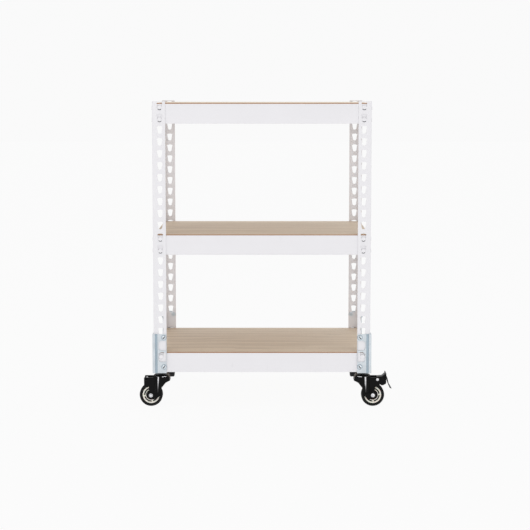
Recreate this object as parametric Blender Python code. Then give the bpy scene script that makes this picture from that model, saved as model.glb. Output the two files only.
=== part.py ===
"""Three-tier boltless shelf trolley on four swivel casters.

Metres, +Z up, front towards -Y. The floor is z = 0 and the origin is under the middle of the whole
footprint, casters and pedals included. Slotted angle posts carry riveted beams, the beams carry loose
boards, and a zinc-plated bracket at the foot of each post takes the stem of a caster.
"""

import math

import bmesh
import bpy
from mathutils import Matrix, Vector

# ---------------------------------------------------------------- overall sizes
WIDTH = 0.600
DEPTH = 0.400
POST_LENGTH = 0.750

# ---------------------------------------------------------------- fits
CLEARANCE = 0.0003
HOLE_PLAY = 0.0003

# ---------------------------------------------------------------- posts
POST_LEG = 0.036
POST_SHEET = 0.0018
SLOT_PITCH = 0.0328
SLOT_HEIGHT = 0.021
SLOT_WIDTH = 0.016
SLOT_NECK = 0.0105
SLOT_SHOULDER_DROP = 0.0045
SLOT_CROWN = 0.010
SLOT_FROM_CORNER = 0.0205
SLOT_END_MARGIN = 0.0015
UNPUNCHED_SLOT = 1

# ---------------------------------------------------------------- beams and boards
BEAM_HEIGHT = 0.054
BEAM_SHEET = 0.0015
RIVET_DROP = 0.0105
RIVET_PLAY = 0.00065
RIVET_HEAD_LAP = 0.0019
RIVET_CROWN = 0.0038
RIVET_HEAD_HEIGHT = 0.0022
LEDGE_WIDTH = 0.014
LEDGE_LIP = 0.006
RETURN_WIDTH = 0.010
FLANGE_SETBACK_FROM_LEG = 0.002
BEAM_OVER_PLATE = 0.0005
BOARD_THICKNESS = 0.012
BOARD_PROUD = 0.0022
BOARD_PLAY = 0.0006

# ---------------------------------------------------------------- caster brackets and their bolts
BRACKET_SHEET = 0.002
BOLT_RADIUS = 0.003
BOLT_FROM_CORNER = 0.0285
LOW_BOLT_RISE = 0.0178
HIGH_BOLT_DROP = 0.0096
WINDOW_WIDTH = 0.0215
WINDOW_HEIGHT = 0.027
WINDOW_CORNER = 0.0055
WINDOW_BESIDE_RIVET = 0.0005
WINDOW_UNDER_RIVET = 0.0142
WINDOW_DROP = 0.0192
WINDOW_BAR = 0.005

# ---------------------------------------------------------------- casters
WHEEL_RADIUS = 0.032
TYRE_WIDTH = 0.022
TYRE_WALL = 0.008
TRAIL = 0.028
SWIVEL_INSET = 0.019
FORK_CROWN = 0.0275
FORK_SHEET = 0.0022
WHEEL_GAP = 0.0009
ROOF_SHEET = 0.0045
DOME_RADIUS = 0.0215
DOME_SHOULDER = 0.0195
DOME_FLAT = 0.0095
DOME_HEIGHT = 0.0070
DOME_BREAK = 0.0035
STEM_RADIUS = 0.005
STEM_REACH = 0.018
COLLAR_RADIUS = 0.0072
COLLAR_HEIGHT = 0.0031
KINGPIN_HEAD = 0.0085
KINGPIN_HEAD_HEIGHT = 0.003
RACE_RADIUS = 0.0115
RACE_HEIGHT = 0.004
NUT_RADIUS = 0.0092
NUT_HEIGHT = 0.008
AXLE_RADIUS = 0.0031
AXLE_HEAD = 0.0060
AXLE_HEAD_HEIGHT = 0.0034
AXLE_NUT_HEIGHT = 0.0045
AXLE_NUT_RADIUS = 0.0060
HUB_RIM_SETBACK = 0.002
HUB_WEB_WIDTH = 0.010
HUB_RIM_SHEET = 0.004
HUB_POCKET = 0.0045
HUB_BOSS_STAND = 0.001
EAR_PAST_AXLE = 0.019
EAR_DROP = 0.0089
EAR_DEPTH = 0.0243
LOBE_RADIUS = 0.0115

# ---------------------------------------------------------------- foot brakes
BRAKE_PIVOT_PAST_AXLE = 0.0125
BRAKE_PIVOT_DROP = 0.0152
BRAKE_PIN_RADIUS = 0.0023
BRAKE_PIN_HEAD = 0.0040
BRAKE_PIN_HEAD_HEIGHT = 0.0014
LEVER_SHEET = 0.0022
LEVER_HOLE = (0.0195, 0.0040)
LEVER_HOLE_RADIUS = 0.0023
PEDAL_WIDTH = 0.040

# ---------------------------------------------------------------- sizes that follow
SLOT_RISE = BEAM_HEIGHT - RIVET_DROP + BEAM_OVER_PLATE - CLEARANCE
RIVET_SHANK = SLOT_NECK / 2 - RIVET_PLAY
RIVET_HEAD = RIVET_SHANK + RIVET_HEAD_LAP
FLANGE_SETBACK = POST_LEG + FLANGE_SETBACK_FROM_LEG
BRACKET_LEG = POST_LEG + BRACKET_SHEET
WINDOW_EDGE = SLOT_FROM_CORNER - RIVET_HEAD - WINDOW_BESIDE_RIVET
WINDOW_RISE = BRACKET_SHEET + CLEARANCE + SLOT_RISE - WINDOW_UNDER_RIVET
LOW_WINDOW = (WINDOW_RISE, WINDOW_RISE + WINDOW_HEIGHT)
HIGH_WINDOW = (LOW_WINDOW[1] + WINDOW_BAR, LOW_WINDOW[1] + WINDOW_BAR + WINDOW_HEIGHT)
BRACKET_HEIGHT = HIGH_WINDOW[1] + WINDOW_DROP
TYRE_BORE = WHEEL_RADIUS - TYRE_WALL
HUB_RIM_WIDTH = TYRE_WIDTH - 2 * HUB_RIM_SETBACK
HUB_RIM_INSIDE = TYRE_BORE - HUB_RIM_SHEET
HUB_BOSS_RADIUS = HUB_RIM_INSIDE - HUB_POCKET
HUB_BOSS_WIDTH = TYRE_WIDTH + 2 * HUB_BOSS_STAND
FORK_INNER = HUB_BOSS_WIDTH / 2 + WHEEL_GAP
FORK_OUTER = FORK_INNER + FORK_SHEET
EAR_REACH = TRAIL + EAR_PAST_AXLE
FORK_TOP = 2 * WHEEL_RADIUS + FORK_CROWN
ROOF_UNDER = FORK_TOP - ROOF_SHEET
PLATE_BOTTOM = FORK_TOP + COLLAR_HEIGHT + 2 * CLEARANCE
PLATE_TOP = PLATE_BOTTOM + BRACKET_SHEET
POST_BOTTOM = PLATE_TOP + CLEARANCE
LOW_SEAT = POST_BOTTOM + SLOT_RISE
SEAT_TO_SLOT_TOP = SLOT_HEIGHT - SLOT_NECK / 2
SLOT_COUNT = 1 + int((POST_LENGTH - SLOT_RISE - SEAT_TO_SLOT_TOP - SLOT_END_MARGIN) / SLOT_PITCH)
WEB_FACE = POST_SHEET + CLEARANCE
WEB_BACK = WEB_FACE + BEAM_SHEET

LEVELS = {"bottom": 0, "middle": (SLOT_COUNT - 1) // 2, "top": SLOT_COUNT - 1}
CORNERS = {"front_left": 0, "front_right": 90, "rear_right": 180, "rear_left": 270}
HEADINGS = {"front_left": 180, "front_right": 0, "rear_right": 90, "rear_left": 90}
BRAKED = ("front_right", "rear_left")
ROUND = 20
SMALL_ROUND = 10
FEW_SIDES = 8
HEX = 6


# ---------------------------------------------------------------- mesh helpers
def finished(name, shape):
    """Closes a bmesh into a mesh with outward faces, smooth except across its edges."""
    bmesh.ops.recalc_face_normals(shape, faces=shape.faces)
    mesh = bpy.data.meshes.new(name)
    shape.to_mesh(mesh)
    shape.free()
    mesh.shade_smooth()
    mesh.set_sharp_from_angle(angle=math.radians(35))
    return mesh


def extruded(outline, start, end, axis):
    """A prism: the outline lies across the axis and is drawn in the two other axes, in their own order."""
    shape = bmesh.new()
    place = {
        "x": lambda a, b: (start, a, b),
        "y": lambda a, b: (a, start, b),
        "z": lambda a, b: (a, b, start),
    }[axis]
    move = {"x": (1, 0, 0), "y": (0, 1, 0), "z": (0, 0, 1)}[axis]
    face = shape.faces.new([shape.verts.new(place(a, b)) for a, b in outline])
    grown = bmesh.ops.extrude_face_region(shape, geom=[face])
    moved = [item for item in grown["geom"] if isinstance(item, bmesh.types.BMVert)]
    bmesh.ops.translate(shape, verts=moved, vec=Vector(move) * (end - start))
    return finished("prism", shape)


def box(low, high):
    """A rectangular block between two corners."""
    outline = [(low[0], low[1]), (high[0], low[1]), (high[0], high[1]), (low[0], high[1])]
    return extruded(outline, low[2], high[2], "z")


def turned(profile, segments, closed=False):
    """A solid of revolution about Z from (radius, height) points; an open profile starts and ends on Z."""
    shape = bmesh.new()
    points = [shape.verts.new((radius, 0, height)) for radius, height in profile]
    edges = [shape.edges.new(pair) for pair in zip(points, points[1:])]
    if closed:
        edges.append(shape.edges.new((points[-1], points[0])))
    bmesh.ops.spin(
        shape, geom=points + edges, cent=(0, 0, 0), axis=(0, 0, 1), angle=2 * math.pi, steps=segments
    )
    bmesh.ops.remove_doubles(shape, verts=shape.verts, dist=1e-6)
    return finished("turned", shape)


def rod(radius, start, end, segments=SMALL_ROUND):
    """A plain round bar along Z."""
    return turned([(0, start), (radius, start), (radius, end), (0, end)], segments)


def laid_along_y(mesh):
    """Turns a mesh made about Z so that its Z points along +Y."""
    mesh.transform(Matrix.Rotation(-math.pi / 2, 4, "X"))
    return mesh


def shifted(mesh, x=0.0, y=0.0, z=0.0):
    """Moves a mesh's points."""
    mesh.transform(Matrix.Translation((x, y, z)))
    return mesh


def swapped_legs(mesh):
    """The copy of a mesh that X and Y mirror into each other, so that both legs of an angle match."""
    copy = mesh.copy()
    copy.transform(Matrix(((0, 1, 0, 0), (1, 0, 0, 0), (0, 0, 1, 0), (0, 0, 0, 1))))
    copy.flip_normals()
    return copy


def joined(meshes):
    """One mesh that holds several separate shapes."""
    shape = bmesh.new()
    for mesh in meshes:
        shape.from_mesh(mesh)
    return finished("joined", shape)


def combined(mesh, operation, tool):
    """The Boolean result of two meshes."""
    body = bpy.data.objects.new("body", mesh)
    helper = bpy.data.objects.new("helper", tool)
    for item in (body, helper):
        bpy.context.scene.collection.objects.link(item)
    modifier = body.modifiers.new("Boolean", "BOOLEAN")
    modifier.operation = operation
    modifier.object = helper
    graph = bpy.context.evaluated_depsgraph_get()
    result = bpy.data.meshes.new_from_object(body.evaluated_get(graph))
    for item in (body, helper):
        bpy.data.objects.remove(item)
    result.shade_smooth()
    result.set_sharp_from_angle(angle=math.radians(35))
    return result


def fused(mesh, *tools):
    """The union of a mesh and of tools that don't touch each other."""
    return combined(mesh, "UNION", joined(tools))


def cut(mesh, *tools):
    """A mesh less the tools, which don't touch each other."""
    return combined(mesh, "DIFFERENCE", joined(tools))


# ---------------------------------------------------------------- objects and materials
def painted(name, colour, roughness, metallic):
    """A Principled material."""
    material = bpy.data.materials.new(name)
    material.use_nodes = True
    shader = material.node_tree.nodes["Principled BSDF"]
    shader.inputs["Base Color"].default_value = (*colour, 1.0)
    shader.inputs["Roughness"].default_value = roughness
    shader.inputs["Metallic"].default_value = metallic
    return material


def add(name, mesh, material, parent, location=(0, 0, 0), turn=0.0):
    """Places a sub-part under its parent, turned about Z by degrees. Copies share their mesh."""
    if not mesh.materials:
        mesh.materials.append(material)
    item = bpy.data.objects.new(name, mesh)
    item.location = location
    item.rotation_euler = (0, 0, math.radians(turn))
    item.parent = parent
    bpy.context.scene.collection.objects.link(item)
    return item


def pivot(name, parent, location=(0, 0, 0), turn=0.0):
    """An empty that carries the pieces of one moving body, on its joint's axis."""
    item = bpy.data.objects.new(name, None)
    item.location = location
    item.rotation_euler = (0, 0, math.radians(turn))
    item.parent = parent
    bpy.context.scene.collection.objects.link(item)
    return item


# ---------------------------------------------------------------- posts
def slot_outline(across, seat):
    """A teardrop slot seen from outside: wide above, and necked where a rivet seats."""
    low = seat - SLOT_NECK / 2
    top = low + SLOT_HEIGHT
    half = [
        (SLOT_NECK / 2, low),
        (SLOT_WIDTH / 2, top - SLOT_SHOULDER_DROP),
        (SLOT_CROWN / 2, top),
    ]
    return [(across + a, z) for a, z in half] + [(across - a, z) for a, z in reversed(half)]


def bolt_heights():
    """Heights of the two bolts on each face of a bracket."""
    return (PLATE_BOTTOM + LOW_BOLT_RISE, PLATE_BOTTOM + BRACKET_HEIGHT - HIGH_BOLT_DROP)


def bolt_tool(height, start, end):
    """The round tool of one bolt hole in a sheet that faces Y, measured from the post's corner."""
    hole = laid_along_y(rod(BOLT_RADIUS + HOLE_PLAY, start, end, FEW_SIDES))
    return shifted(hole, x=BOLT_FROM_CORNER, z=height)


def post_mesh():
    """An angle post with its outer corner on the Z axis and its legs along +X and +Y.

    The slot that would lie behind the upper window of the caster bracket isn't punched.
    """
    angle = [
        (0, 0),
        (POST_LEG, 0),
        (POST_LEG, POST_SHEET),
        (POST_SHEET, POST_SHEET),
        (POST_SHEET, POST_LEG),
        (0, POST_LEG),
    ]
    body = extruded(angle, POST_BOTTOM, POST_BOTTOM + POST_LENGTH, "z")
    through = (-POST_SHEET, 2 * POST_SHEET)
    slots = [
        extruded(slot_outline(SLOT_FROM_CORNER, LOW_SEAT + step * SLOT_PITCH), *through, "y")
        for step in range(SLOT_COUNT)
        if step != UNPUNCHED_SLOT
    ]
    bolts = [bolt_tool(height, *through) for height in bolt_heights()]
    for tools in (slots, bolts):
        body = cut(body, *tools, *[swapped_legs(tool) for tool in tools])
    return body


# ---------------------------------------------------------------- beams
def rivet(across, height):
    """A rivet whose shank stands out of the beam's web and whose head bears on the post's outer face."""
    profile = [
        (0, -WEB_FACE - BEAM_SHEET / 2),
        (RIVET_SHANK, -WEB_FACE - BEAM_SHEET / 2),
        (RIVET_SHANK, CLEARANCE),
        (RIVET_HEAD, CLEARANCE),
        (RIVET_CROWN, CLEARANCE + RIVET_HEAD_HEIGHT),
        (0, CLEARANCE + RIVET_HEAD_HEIGHT),
    ]
    mesh = turned(profile, FEW_SIDES)
    mesh.transform(Matrix.Rotation(math.pi / 2, 4, "X"))
    return shifted(mesh, x=across, z=height)


def beam_mesh(span, web_inset, bottom):
    """A beam along X whose posts' outer face is y = 0 and whose top edge is z = 0, flanges towards +Y.

    span is the distance over the posts, and web_inset is how far in each end of the web lies.
    """
    half = span / 2
    web_half = half - web_inset
    flange_half = half - FLANGE_SETBACK
    body = box((-web_half, WEB_FACE, -BEAM_HEIGHT), (web_half, WEB_BACK, 0))
    ledge_top = BOARD_PROUD - BOARD_THICKNESS - CLEARANCE
    ledge = [
        (WEB_FACE + BEAM_SHEET / 2, ledge_top),
        (WEB_BACK + LEDGE_WIDTH, ledge_top),
        (WEB_BACK + LEDGE_WIDTH, ledge_top - LEDGE_LIP),
        (WEB_BACK + LEDGE_WIDTH - BEAM_SHEET, ledge_top - LEDGE_LIP),
        (WEB_BACK + LEDGE_WIDTH - BEAM_SHEET, ledge_top - BEAM_SHEET),
        (WEB_FACE + BEAM_SHEET / 2, ledge_top - BEAM_SHEET),
    ]
    foot_low = BEAM_SHEET / 3 - BEAM_HEIGHT
    foot = [
        (WEB_FACE + BEAM_SHEET / 2, foot_low),
        (WEB_BACK + RETURN_WIDTH, foot_low),
        (WEB_BACK + RETURN_WIDTH, foot_low + BEAM_SHEET),
        (WEB_FACE + BEAM_SHEET / 2, foot_low + BEAM_SHEET),
    ]
    tools = [extruded(outline, -flange_half, flange_half, "x") for outline in (ledge, foot)]
    drops = (RIVET_DROP,) if bottom else (RIVET_DROP, RIVET_DROP + SLOT_PITCH)
    for side in (-1, 1):
        tools += [rivet(side * (half - SLOT_FROM_CORNER), -drop) for drop in drops]
    body = fused(body, *tools)
    if bottom:
        height = bolt_heights()[0] - (LOW_SEAT + RIVET_DROP)
        holes = [shifted(bolt_tool(height, 0, 2 * WEB_BACK), x=-half)]
        holes.append(shifted(bolt_tool(height, 0, 2 * WEB_BACK), x=half - 2 * BOLT_FROM_CORNER))
        body = cut(body, *holes)
    return body


# ---------------------------------------------------------------- boards
def board_mesh():
    """A loose board that lies on the ledges inside the four webs, top face at z = 0."""
    half_x = WIDTH / 2 - WEB_BACK - BOARD_PLAY
    half_y = DEPTH / 2 - WEB_BACK - BOARD_PLAY
    return box((-half_x, -half_y, -BOARD_THICKNESS), (half_x, half_y, 0))


# ---------------------------------------------------------------- caster brackets
def window_outline(rise):
    """A bracket window: its corners are cut off on the side near the post's corner."""
    low, high = (PLATE_BOTTOM + value for value in rise)
    near, far = WINDOW_EDGE, WINDOW_EDGE + WINDOW_WIDTH
    return [
        (near, low + WINDOW_CORNER),
        (near + WINDOW_CORNER, low),
        (far, low),
        (far, high),
        (near + WINDOW_CORNER, high),
        (near, high - WINDOW_CORNER),
    ]


def bracket_mesh():
    """A folded bracket outside the foot of a post whose corner is on the Z axis, with a plate under it."""
    outside = -CLEARANCE - BRACKET_SHEET
    inside = -CLEARANCE
    reach = outside + BRACKET_LEG
    angle = [
        (outside, outside),
        (reach, outside),
        (reach, inside),
        (inside, inside),
        (inside, reach),
        (outside, reach),
    ]
    legs = extruded(angle, PLATE_BOTTOM, PLATE_BOTTOM + BRACKET_HEIGHT, "z")
    overlap = outside + BRACKET_SHEET / 2
    plate = box((overlap, overlap, PLATE_BOTTOM), (reach, reach, PLATE_TOP))
    body = fused(legs, plate)
    through = (outside - BRACKET_SHEET, inside + BRACKET_SHEET)
    tools = [extruded(window_outline(rise), *through, "y") for rise in (LOW_WINDOW, HIGH_WINDOW)]
    tools += [bolt_tool(height, *through) for height in bolt_heights()]
    stem_hole = rod(
        STEM_RADIUS + HOLE_PLAY, PLATE_BOTTOM - BRACKET_SHEET, PLATE_TOP + BRACKET_SHEET
    )
    shifted(stem_hole, x=SWIVEL_INSET, y=SWIVEL_INSET)
    return cut(body, *tools, *[swapped_legs(tool) for tool in tools], stem_hole)


# ---------------------------------------------------------------- caster pieces, swivel axis on Z
def stem_mesh():
    """Kingpin and threaded stem in one: a head under the fork's race, a collar, then the thread."""
    race_under = ROOF_UNDER - CLEARANCE - RACE_HEIGHT
    head_top = race_under - CLEARANCE
    collar_low = FORK_TOP + CLEARANCE
    thread_end = POST_BOTTOM + STEM_REACH
    chamfer = STEM_RADIUS / 4
    profile = [
        (0, head_top - KINGPIN_HEAD_HEIGHT),
        (KINGPIN_HEAD, head_top - KINGPIN_HEAD_HEIGHT),
        (KINGPIN_HEAD, head_top),
        (STEM_RADIUS, head_top),
        (STEM_RADIUS, collar_low),
        (COLLAR_RADIUS, collar_low),
        (COLLAR_RADIUS, collar_low + COLLAR_HEIGHT),
        (STEM_RADIUS, collar_low + COLLAR_HEIGHT),
        (STEM_RADIUS, thread_end - chamfer),
        (STEM_RADIUS - chamfer, thread_end),
        (0, thread_end),
    ]
    return turned(profile, SMALL_ROUND)


def ring_mesh(inner, outer, low, high, inner_segments, outer_segments):
    """A flat ring about Z, or a nut where the outer side has six segments."""
    through = (2 * low - high, 2 * high - low)
    return cut(rod(outer, low, high, outer_segments), rod(inner, *through, inner_segments))


def fork_mesh():
    """The black pressed fork: two cheeks that trail to the axle, a round dome over them and a nose."""
    ear_top = FORK_TOP - EAR_DROP
    lobe = [
        (
            TRAIL + LOBE_RADIUS * math.cos(math.radians(angle)),
            WHEEL_RADIUS + LOBE_RADIUS * math.sin(math.radians(angle)),
        )
        for angle in range(240, 361, 20)
    ]
    cheek = [
        (EAR_REACH, ear_top),
        (DOME_RADIUS, ear_top),
        (DOME_RADIUS * 0.65, FORK_TOP - 0.0030),
        (DOME_FLAT * 0.7, FORK_TOP),
        (-DOME_FLAT * 1.3, FORK_TOP),
        (-0.0180, FORK_TOP - 0.0015),
        (-0.0220, FORK_TOP - 0.0060),
        (-0.0254, FORK_TOP - 0.0178),
        (-0.0235, FORK_TOP - 0.0195),
        (-0.0127, FORK_TOP - 0.0250),
        (0.0005, FORK_TOP - 0.0420),
        (0.0025, WHEEL_RADIUS - 0.0010),
        (0.0110, WHEEL_RADIUS - 0.0088),
        *lobe,
        (TRAIL + 0.0060, WHEEL_RADIUS + 0.0174),
        (TRAIL + 0.0100, ear_top - EAR_DEPTH - 0.0010),
        (EAR_REACH - 0.0015, ear_top - EAR_DEPTH),
        (EAR_REACH, ear_top - EAR_DEPTH + 0.0018),
    ]
    dome = turned(
        [
            (0, FORK_TOP - DOME_HEIGHT),
            (DOME_RADIUS, FORK_TOP - DOME_HEIGHT),
            (DOME_SHOULDER, FORK_TOP - DOME_BREAK),
            (DOME_FLAT, FORK_TOP),
            (0, FORK_TOP),
        ],
        ROUND,
    )
    body = fused(extruded(cheek, -FORK_OUTER, FORK_OUTER, "y"), dome)
    cavity = [
        (-0.0254 + FORK_SHEET, -WHEEL_RADIUS),
        (-0.0254 + FORK_SHEET, FORK_TOP - 0.0178),
        (-0.0220 + FORK_SHEET, FORK_TOP - 0.0070),
        (-0.0170, ROOF_UNDER),
        (DOME_RADIUS + FORK_SHEET, ROOF_UNDER),
        (DOME_RADIUS + FORK_SHEET, 2 * FORK_TOP),
        (2 * EAR_REACH, 2 * FORK_TOP),
        (2 * EAR_REACH, -WHEEL_RADIUS),
    ]
    body = cut(body, extruded(cavity, -FORK_INNER, FORK_INNER, "y"))
    stem_hole = rod(STEM_RADIUS + CLEARANCE, ROOF_UNDER - ROOF_SHEET, FORK_TOP + ROOF_SHEET, ROUND)
    axle_hole = laid_along_y(rod(AXLE_RADIUS + HOLE_PLAY, -2 * FORK_OUTER, 2 * FORK_OUTER))
    shifted(axle_hole, x=TRAIL, z=WHEEL_RADIUS)
    pin_hole = laid_along_y(
        rod(BRAKE_PIN_RADIUS + HOLE_PLAY, -2 * FORK_OUTER, 2 * FORK_OUTER, FEW_SIDES)
    )
    shifted(pin_hole, x=TRAIL + BRAKE_PIVOT_PAST_AXLE, z=FORK_TOP - BRAKE_PIVOT_DROP)
    return cut(body, stem_hole, axle_hole, pin_hole)


def axle_mesh():
    """The axle bolt along Y with a domed head, axis at the origin."""
    face = FORK_OUTER + CLEARANCE
    profile = [
        (0, -face - AXLE_HEAD_HEIGHT),
        (AXLE_HEAD * 0.62, -face - AXLE_HEAD_HEIGHT * 0.8),
        (AXLE_HEAD, -face - AXLE_HEAD_HEIGHT * 0.25),
        (AXLE_HEAD, -face),
        (AXLE_RADIUS, -face),
        (AXLE_RADIUS, face + AXLE_NUT_HEIGHT * 0.6),
        (0, face + AXLE_NUT_HEIGHT * 0.6),
    ]
    return laid_along_y(turned(profile, SMALL_ROUND))


def axle_nut_mesh():
    """The cap nut on the far end of the axle, closed over the bolt's end."""
    face = FORK_OUTER + CLEARANCE
    crown = AXLE_NUT_HEIGHT + 0.0022
    body = turned(
        [
            (0, face),
            (AXLE_NUT_RADIUS, face),
            (AXLE_NUT_RADIUS, face + AXLE_NUT_HEIGHT * 0.7),
            (AXLE_NUT_RADIUS * 0.75, face + AXLE_NUT_HEIGHT),
            (0, face + crown),
        ],
        SMALL_ROUND,
    )
    bore_end = face + AXLE_NUT_HEIGHT * 0.6 + CLEARANCE
    return laid_along_y(cut(body, rod(AXLE_RADIUS + HOLE_PLAY, face - crown, bore_end)))


def tyre_mesh():
    """The tyre: a closed ring with rounded shoulders, axis along Y at the origin."""
    half = TYRE_WIDTH / 2
    profile = [
        (TYRE_BORE, -half * 0.86),
        (WHEEL_RADIUS - 0.0040, -half),
        (WHEEL_RADIUS - 0.0010, -half * 0.87),
        (WHEEL_RADIUS, -half * 0.55),
        (WHEEL_RADIUS, half * 0.55),
        (WHEEL_RADIUS - 0.0010, half * 0.87),
        (WHEEL_RADIUS - 0.0040, half),
        (TYRE_BORE, half * 0.86),
    ]
    return laid_along_y(turned(profile, ROUND, closed=True))


def hub_mesh():
    """The wheel centre: an outer rim, a thinner web and a boss that runs on the axle."""
    rim = TYRE_BORE - CLEARANCE
    bore = AXLE_RADIUS + HOLE_PLAY
    half = [
        (bore, HUB_BOSS_WIDTH / 2),
        (HUB_BOSS_RADIUS, HUB_RIM_WIDTH / 2),
        (HUB_BOSS_RADIUS, HUB_WEB_WIDTH / 2),
        (HUB_RIM_INSIDE, HUB_WEB_WIDTH / 2),
        (HUB_RIM_INSIDE, HUB_RIM_WIDTH / 2),
        (rim, HUB_RIM_WIDTH / 2),
    ]
    profile = half + [(radius, -height) for radius, height in reversed(half)]
    return laid_along_y(turned(profile, ROUND, closed=True))


# ---------------------------------------------------------------- foot brake, pivot at the origin
def brake_pin_mesh():
    """The rivet that the lever turns on, through both ears of the fork."""
    face = FORK_OUTER + CLEARANCE
    side = [(BRAKE_PIN_HEAD, face + BRAKE_PIN_HEAD_HEIGHT), (BRAKE_PIN_HEAD, face), (BRAKE_PIN_RADIUS, face)]
    ends = [(0, face + BRAKE_PIN_HEAD_HEIGHT), *side]
    profile = ends + [(radius, -height) for radius, height in reversed(ends)]
    return laid_along_y(turned(profile, SMALL_ROUND))


def pedal_mesh():
    """The brake lever: an arm between the fork's ears, a shoe over the tyre and a wide slanted pedal."""
    arm_half = FORK_INNER - CLEARANCE
    arm = [
        (-0.0060, -0.0050),
        (0.0040, -0.0070),
        (0.0068, -0.0138),
        (0.0095, -0.0156),
        (0.0160, -0.0168),
        (0.0225, -0.0130),
        (0.0282, -0.0060),
        (0.0256, 0.0060),
        (0.0222, 0.0160),
        (0.0130, 0.0078),
        (-0.0060, 0.0062),
    ]
    blade = [
        (0.0214, 0.0168),
        (0.0245, 0.0050),
        (0.0282, -0.0102),
        (0.0338, -0.0228),
        (0.0376, -0.0262),
        (0.0396, -0.0242),
        (0.0362, -0.0210),
        (0.0309, -0.0092),
        (0.0272, 0.0058),
        (0.0241, 0.0177),
    ]
    pocket = [
        (-0.0120, -0.0110),
        (-0.0120, 0.0038),
        (0.0140, 0.0052),
        (0.0200, 0.0080),
        (0.0228, -0.0040),
        (0.0190, -0.0085),
        (0.0130, -0.0110),
    ]
    body = cut(
        extruded(arm, -arm_half, arm_half, "y"),
        extruded(pocket, LEVER_SHEET - arm_half, arm_half - LEVER_SHEET, "y"),
    )
    body = fused(body, extruded(blade, -PEDAL_WIDTH / 2, PEDAL_WIDTH / 2, "y"))
    pin_hole = laid_along_y(rod(BRAKE_PIN_RADIUS + CLEARANCE, -PEDAL_WIDTH, PEDAL_WIDTH))
    side_hole = laid_along_y(rod(LEVER_HOLE_RADIUS, -PEDAL_WIDTH, PEDAL_WIDTH, FEW_SIDES))
    shifted(side_hole, x=LEVER_HOLE[0], z=LEVER_HOLE[1])
    return cut(body, pin_hole, side_hole)


# ---------------------------------------------------------------- assembly
def corner_place(turn):
    """The post corner that a quarter turn about Z brings the first corner's legs to."""
    side_x = -1 if turn in (0, 270) else 1
    side_y = -1 if turn in (0, 90) else 1
    return side_x * WIDTH / 2, side_y * DEPTH / 2


def add_frame(cart, finish):
    """Posts, brackets, beams and boards."""
    post = post_mesh()
    bracket = bracket_mesh()
    for corner, turn in CORNERS.items():
        x, y = corner_place(turn)
        add(f"{corner}_post", post, finish["white"], cart, (x, y, 0), turn)
        add(f"{corner}_bracket", bracket, finish["zinc"], cart, (x, y, 0), turn)
    front_inset = WEB_FACE
    side_inset = WEB_BACK + CLEARANCE
    board = board_mesh()
    sides = (
        ("front", WIDTH, front_inset, 0, (0, -DEPTH / 2)),
        ("rear", WIDTH, front_inset, 180, (0, DEPTH / 2)),
        ("right", DEPTH, side_inset, 90, (WIDTH / 2, 0)),
        ("left", DEPTH, side_inset, 270, (-WIDTH / 2, 0)),
    )
    made = {}
    for level, step in LEVELS.items():
        beam_top = LOW_SEAT + step * SLOT_PITCH + RIVET_DROP
        low = level == "bottom"
        for side, span, inset, turn, (x, y) in sides:
            key = (span == WIDTH, low)
            if key not in made:
                made[key] = beam_mesh(span, inset, low)
            add(f"{level}_{side}_beam", made[key], finish["white"], cart, (x, y, beam_top), turn)
        add(f"{level}_board", board, finish["wood"], cart, (0, 0, beam_top + BOARD_PROUD))


def add_casters(cart, finish):
    """Four swivel casters, each standing in the plate of its bracket."""
    nut_low = PLATE_TOP + CLEARANCE
    race_high = ROOF_UNDER - CLEARANCE
    stem_bore = STEM_RADIUS + HOLE_PLAY
    stem = stem_mesh()
    nut = ring_mesh(stem_bore, NUT_RADIUS, nut_low, nut_low + NUT_HEIGHT, SMALL_ROUND, HEX)
    race = ring_mesh(stem_bore, RACE_RADIUS, race_high - RACE_HEIGHT, race_high, ROUND, ROUND)
    fork, axle, axle_nut = fork_mesh(), axle_mesh(), axle_nut_mesh()
    hub, tyre = hub_mesh(), tyre_mesh()
    pin, pedal = brake_pin_mesh(), pedal_mesh()
    for corner, turn in CORNERS.items():
        x, y = corner_place(turn)
        x -= math.copysign(SWIVEL_INSET, x)
        y -= math.copysign(SWIVEL_INSET, y)
        add(f"{corner}_stem", stem, finish["zinc"], cart, (x, y, 0))
        add(f"{corner}_stem_nut", nut, finish["zinc"], cart, (x, y, 0))
        add(f"{corner}_swivel_race", race, finish["zinc"], cart, (x, y, 0))
        swivel = pivot(f"{corner}_swivel_axis", cart, (x, y, 0), HEADINGS[corner])
        axis = pivot(f"{corner}_wheel_axis", swivel, (TRAIL, 0, WHEEL_RADIUS))
        add(f"{corner}_fork", fork, finish["black"], swivel)
        add(f"{corner}_axle", axle, finish["chrome"], axis)
        add(f"{corner}_axle_nut", axle_nut, finish["chrome"], axis)
        add(f"{corner}_hub", hub, finish["cream"], axis)
        add(f"{corner}_tyre", tyre, finish["rubber"], axis)
        if corner in BRAKED:
            place = (TRAIL + BRAKE_PIVOT_PAST_AXLE, 0, FORK_TOP - BRAKE_PIVOT_DROP)
            brake = pivot(f"{corner}_brake_axis", swivel, place)
            add(f"{corner}_brake_pin", pin, finish["chrome"], brake)
            add(f"{corner}_brake_pedal", pedal, finish["black"], brake)


def centre_footprint(cart):
    """Moves the whole trolley so that the origin is under the middle of its footprint."""
    bpy.context.view_layer.update()
    points = [
        item.matrix_world @ Vector(corner)
        for item in bpy.context.scene.objects
        if item.type == "MESH"
        for corner in item.bound_box
    ]
    for axis in (0, 1):
        values = [point[axis] for point in points]
        cart.location[axis] = -(min(values) + max(values)) / 2


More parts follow.
